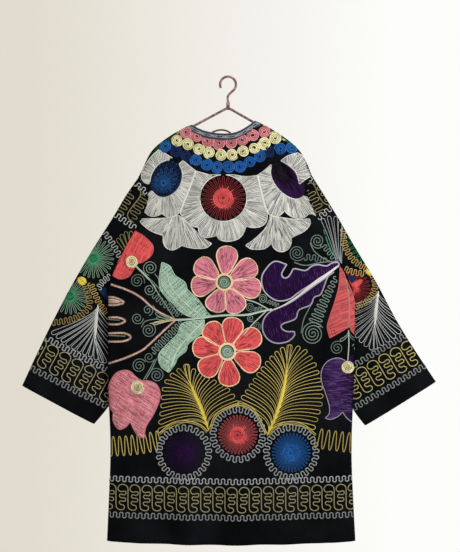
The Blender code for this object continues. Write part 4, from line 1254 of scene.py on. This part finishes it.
def strip(run, width, lift):
    """The points of one raised thread, a row for each station."""
    places, normals = run[:, 0], run[:, 1]
    if len(run) > 4:
        normals[1:-1] = (normals[:-2] + normals[1:-1] + normals[2:]) / 3
        normals /= np.linalg.norm(normals, axis=1, keepdims=True)
    side = np.cross(np.gradient(places, axis=0), normals)
    side /= np.maximum(np.linalg.norm(side, axis=1, keepdims=True), 1e-9)
    size = np.full(len(run), width * UNIT)
    size[1::2] *= TWIST
    size[[0, -1]] *= THREAD_END
    size = size[:, None]
    return np.stack([places + side * size * across + normals * (size * out + lift * MM)
                     for across, out in PROFILE], axis=1)


def sew_all(trees):
    """Makes one object from each group of threads."""
    made, silks = [], {}
    corner = len(PROFILE)
    for name, sewn in threads.items():
        points, faces, slots = [], [], []
        used, count = {}, 0
        for node, facing, silk, line, width, lift in sewn:
            shades = (STITCH_SHADES, STITCH_WEIGHTS) if len(line) == 2 else (LINE_SHADES, LINE_WEIGHTS)
            slot = used.setdefault((silk, random.choices(*shades)[0]), len(used))
            for run in cast(trees[node], line, facing):
                points.append(strip(run, width, lift).reshape(-1, 3))
                row = np.arange(len(run) - 1)[:, None] * corner + count
                for k in range(corner - 1):
                    faces.append(row + (k, k + 1, k + 1 + corner, k + corner))
                    slots.append(np.full(len(row), slot))
                count += len(run) * corner
        mesh = bpy.data.meshes.new(name)
        mesh.from_pydata(np.vstack(points).tolist(), [], np.vstack(faces).tolist())
        mesh.polygons.foreach_set("material_index", np.concatenate(slots))
        mesh.shade_smooth()
        for key in used:
            if key not in silks:
                silks[key] = silk_material(*key)
            mesh.materials.append(silks[key])
        made.append(linked(name, mesh))
    return made


# The room

PICTURE = np.array([460, 552])  # the view's width and height in units
ROBE_MIDDLE = Vector((0, 0, -0.5))
ROBE_BACK = -14 * MM  # the depth at which a unit of the drawings fills one pixel
CAMERA_DISTANCE = 4.0  # metres from there
FLOOR_SIZE, FLOOR_DROP = 3.0, 0.55  # half its width, and its distance below the robe
LAMP_COLOUR = (1.0, 0.99, 0.97)
WALL_LEFT, WALL_RIGHT = (225, 220, 206), (253, 253, 251)
ROOM_LIGHT = 0.62  # the part of the wall's brightness that falls on the robe from all sides


def add_floor():
    level = cad_box[0][2] - FLOOR_DROP
    corners = [(x * FLOOR_SIZE, y * FLOOR_SIZE, level) for x, y in ((-1, -1), (1, -1), (1, 1), (-1, 1))]
    mesh = bpy.data.meshes.new("floor")
    mesh.from_pydata(corners, [], [(0, 1, 2, 3)])
    plain, sockets = new_material("floor")
    sockets["Base Color"].default_value = (0.72, 0.71, 0.69, 1)
    sockets["Roughness"].default_value = 0.8
    mesh.materials.append(plain)
    linked("floor", mesh)


def add_light(name, place, size, power):
    """A round lamp that shines on the robe's middle."""
    data = bpy.data.lights.new(name, "AREA")
    data.shape, data.size, data.energy, data.color = "DISK", size, power, LAMP_COLOUR
    lamp = linked(name, data)
    lamp.location = place
    lamp.rotation_euler = (ROBE_MIDDLE - Vector(place)).to_track_quat("-Z", "Y").to_euler()


def add_camera():
    """The view of the photo: the robe's back, one drawing unit to a pixel."""
    middle = (PICTURE / 2 - PEAK_DRAWN) * UNIT
    data = bpy.data.cameras.new("camera")
    data.sensor_fit, data.sensor_width = "HORIZONTAL", 36
    data.lens = data.sensor_width * CAMERA_DISTANCE / (PICTURE[0] * UNIT)
    camera = linked("camera", data)
    camera.location = (middle[0], ROBE_BACK - CAMERA_DISTANCE, PEAK_Z - middle[1])
    camera.rotation_euler = (math.pi / 2, 0, 0)
    bpy.context.scene.camera = camera


def add_world():
    """A pale room that is warmer on the left and whiter on the right."""
    world = bpy.data.worlds.new("world")
    world.use_nodes = True
    tree = world.node_tree
    wall = tree.nodes["Background"].inputs
    parts = new_node(tree, "SeparateXYZ")
    share = new_node(tree, "MapRange", From_Min=-0.12, From_Max=0.10)
    ramp = ramp_between(tree, linear(WALL_LEFT), linear(WALL_RIGHT))
    level = new_node(tree, "MapRange", To_Min=ROOM_LIGHT)
    for start, end in (
        (new_node(tree, "TexCoord").outputs["Generated"], parts.inputs["Vector"]),
        (parts.outputs["X"], share.inputs["Value"]),
        (share.outputs["Result"], ramp.inputs["Fac"]),
        (ramp.outputs["Color"], wall["Color"]),
        (new_node(tree, "LightPath").outputs["Is Camera Ray"], level.inputs["Value"]),
        (level.outputs["Result"], wall["Strength"]),
    ):
        tree.links.new(start, end)
    bpy.context.scene.world = world
    bpy.context.scene.view_settings.view_transform = "Standard"


# Cuts of the cloth: (width, length, area), flat, in metres and square metres
CUTS = {
    "back_panel": (0.66, 1.10, 0.60),
    "front_left": (0.33, 1.10, 0.29),
    "front_right": (0.33, 1.10, 0.30),
    "sleeve_left": (0.62, 0.60, 0.165),
    "sleeve_right": (0.62, 0.60, 0.165),
}
# Dark and light colour, size of its drift, roughness, sheen, depth of the grain, and its fineness
BLACK_CLOTH = (0.0012, 0.0016, 0.0024), (0.0046, 0.0054, 0.0072), 9, 0.9, 0.004, 0.35, 900
GREY_BRAID = (0.075, 0.082, 0.10), (0.19, 0.20, 0.22), 160, 0.8, 0.1, 0.6, 700
WRAPPED_TAPE = (0.10, 0.052, 0.058), (0.36, 0.23, 0.235), 130, 0.6, 0.1, 0.8, 420
LOOP_CORD = (0.05, 0.028, 0.034), (0.15, 0.085, 0.095), 300, 0.7, 0.1, 0.8, 700


def tree_of(piece):
    made = bmesh.new()
    made.from_mesh(piece.data)
    tree = BVHTree.FromBMesh(made)
    made.free()
    return tree


def dress(piece, node):
    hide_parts(node)
    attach(piece, "root")


def make_cloth():
    """All the pieces that take a solid's place. Returns a tree for each, to cast threads on."""
    trees = {}
    black = noisy_material("black_cloth", *BLACK_CLOTH)
    for node, (width, length, area) in CUTS.items():
        creases = CREASES.get(node) or CREASES[node.split("_")[0]]
        cloth = shell(node + "_cloth", node, 2, black, creases)
        dress(cloth, node)
        trees[node] = tree_of(cloth)
    braid = shell("neck_braid_woven", "neck_braid", 2, noisy_material("grey_braid", *GREY_BRAID))
    dress(braid, "neck_braid")
    trees["neck_braid"] = tree_of(braid)
    tape, cord = noisy_material("wrapped_tape", *WRAPPED_TAPE), noisy_material("loop_cord", *LOOP_CORD)
    for node, material, slot in (("hanger", tape, "wrapped_wire"), ("hanging_loop", cord, "loop_cord")):
        dress(shell(node + "_wound", node, 1, material, swell=WINDING[node]), node)
    return trees


def main():
    trees = make_cloth()
    back_design()
    for facing, end in ((BACK, ""), (FRONT, "_front")):
        sleeve_left_design(sewing("stitching_sleeve_left" + end, "sleeve_left", facing))
        sleeve_right_design(sewing("stitching_sleeve_right" + end, "sleeve_right", facing))
    front_design("front_right", False)
    front_design("front_left", True)
    braid_design()
    for stitching in sew_all(trees):
        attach(stitching, "root")
    add_floor()
    add_light("key", (1.7, -2.3, 1.3), 0.9, 96)
    add_light("far", (-1.4, 2.2, 1.2), 1.2, 40)
    add_camera()
    add_world()


main()
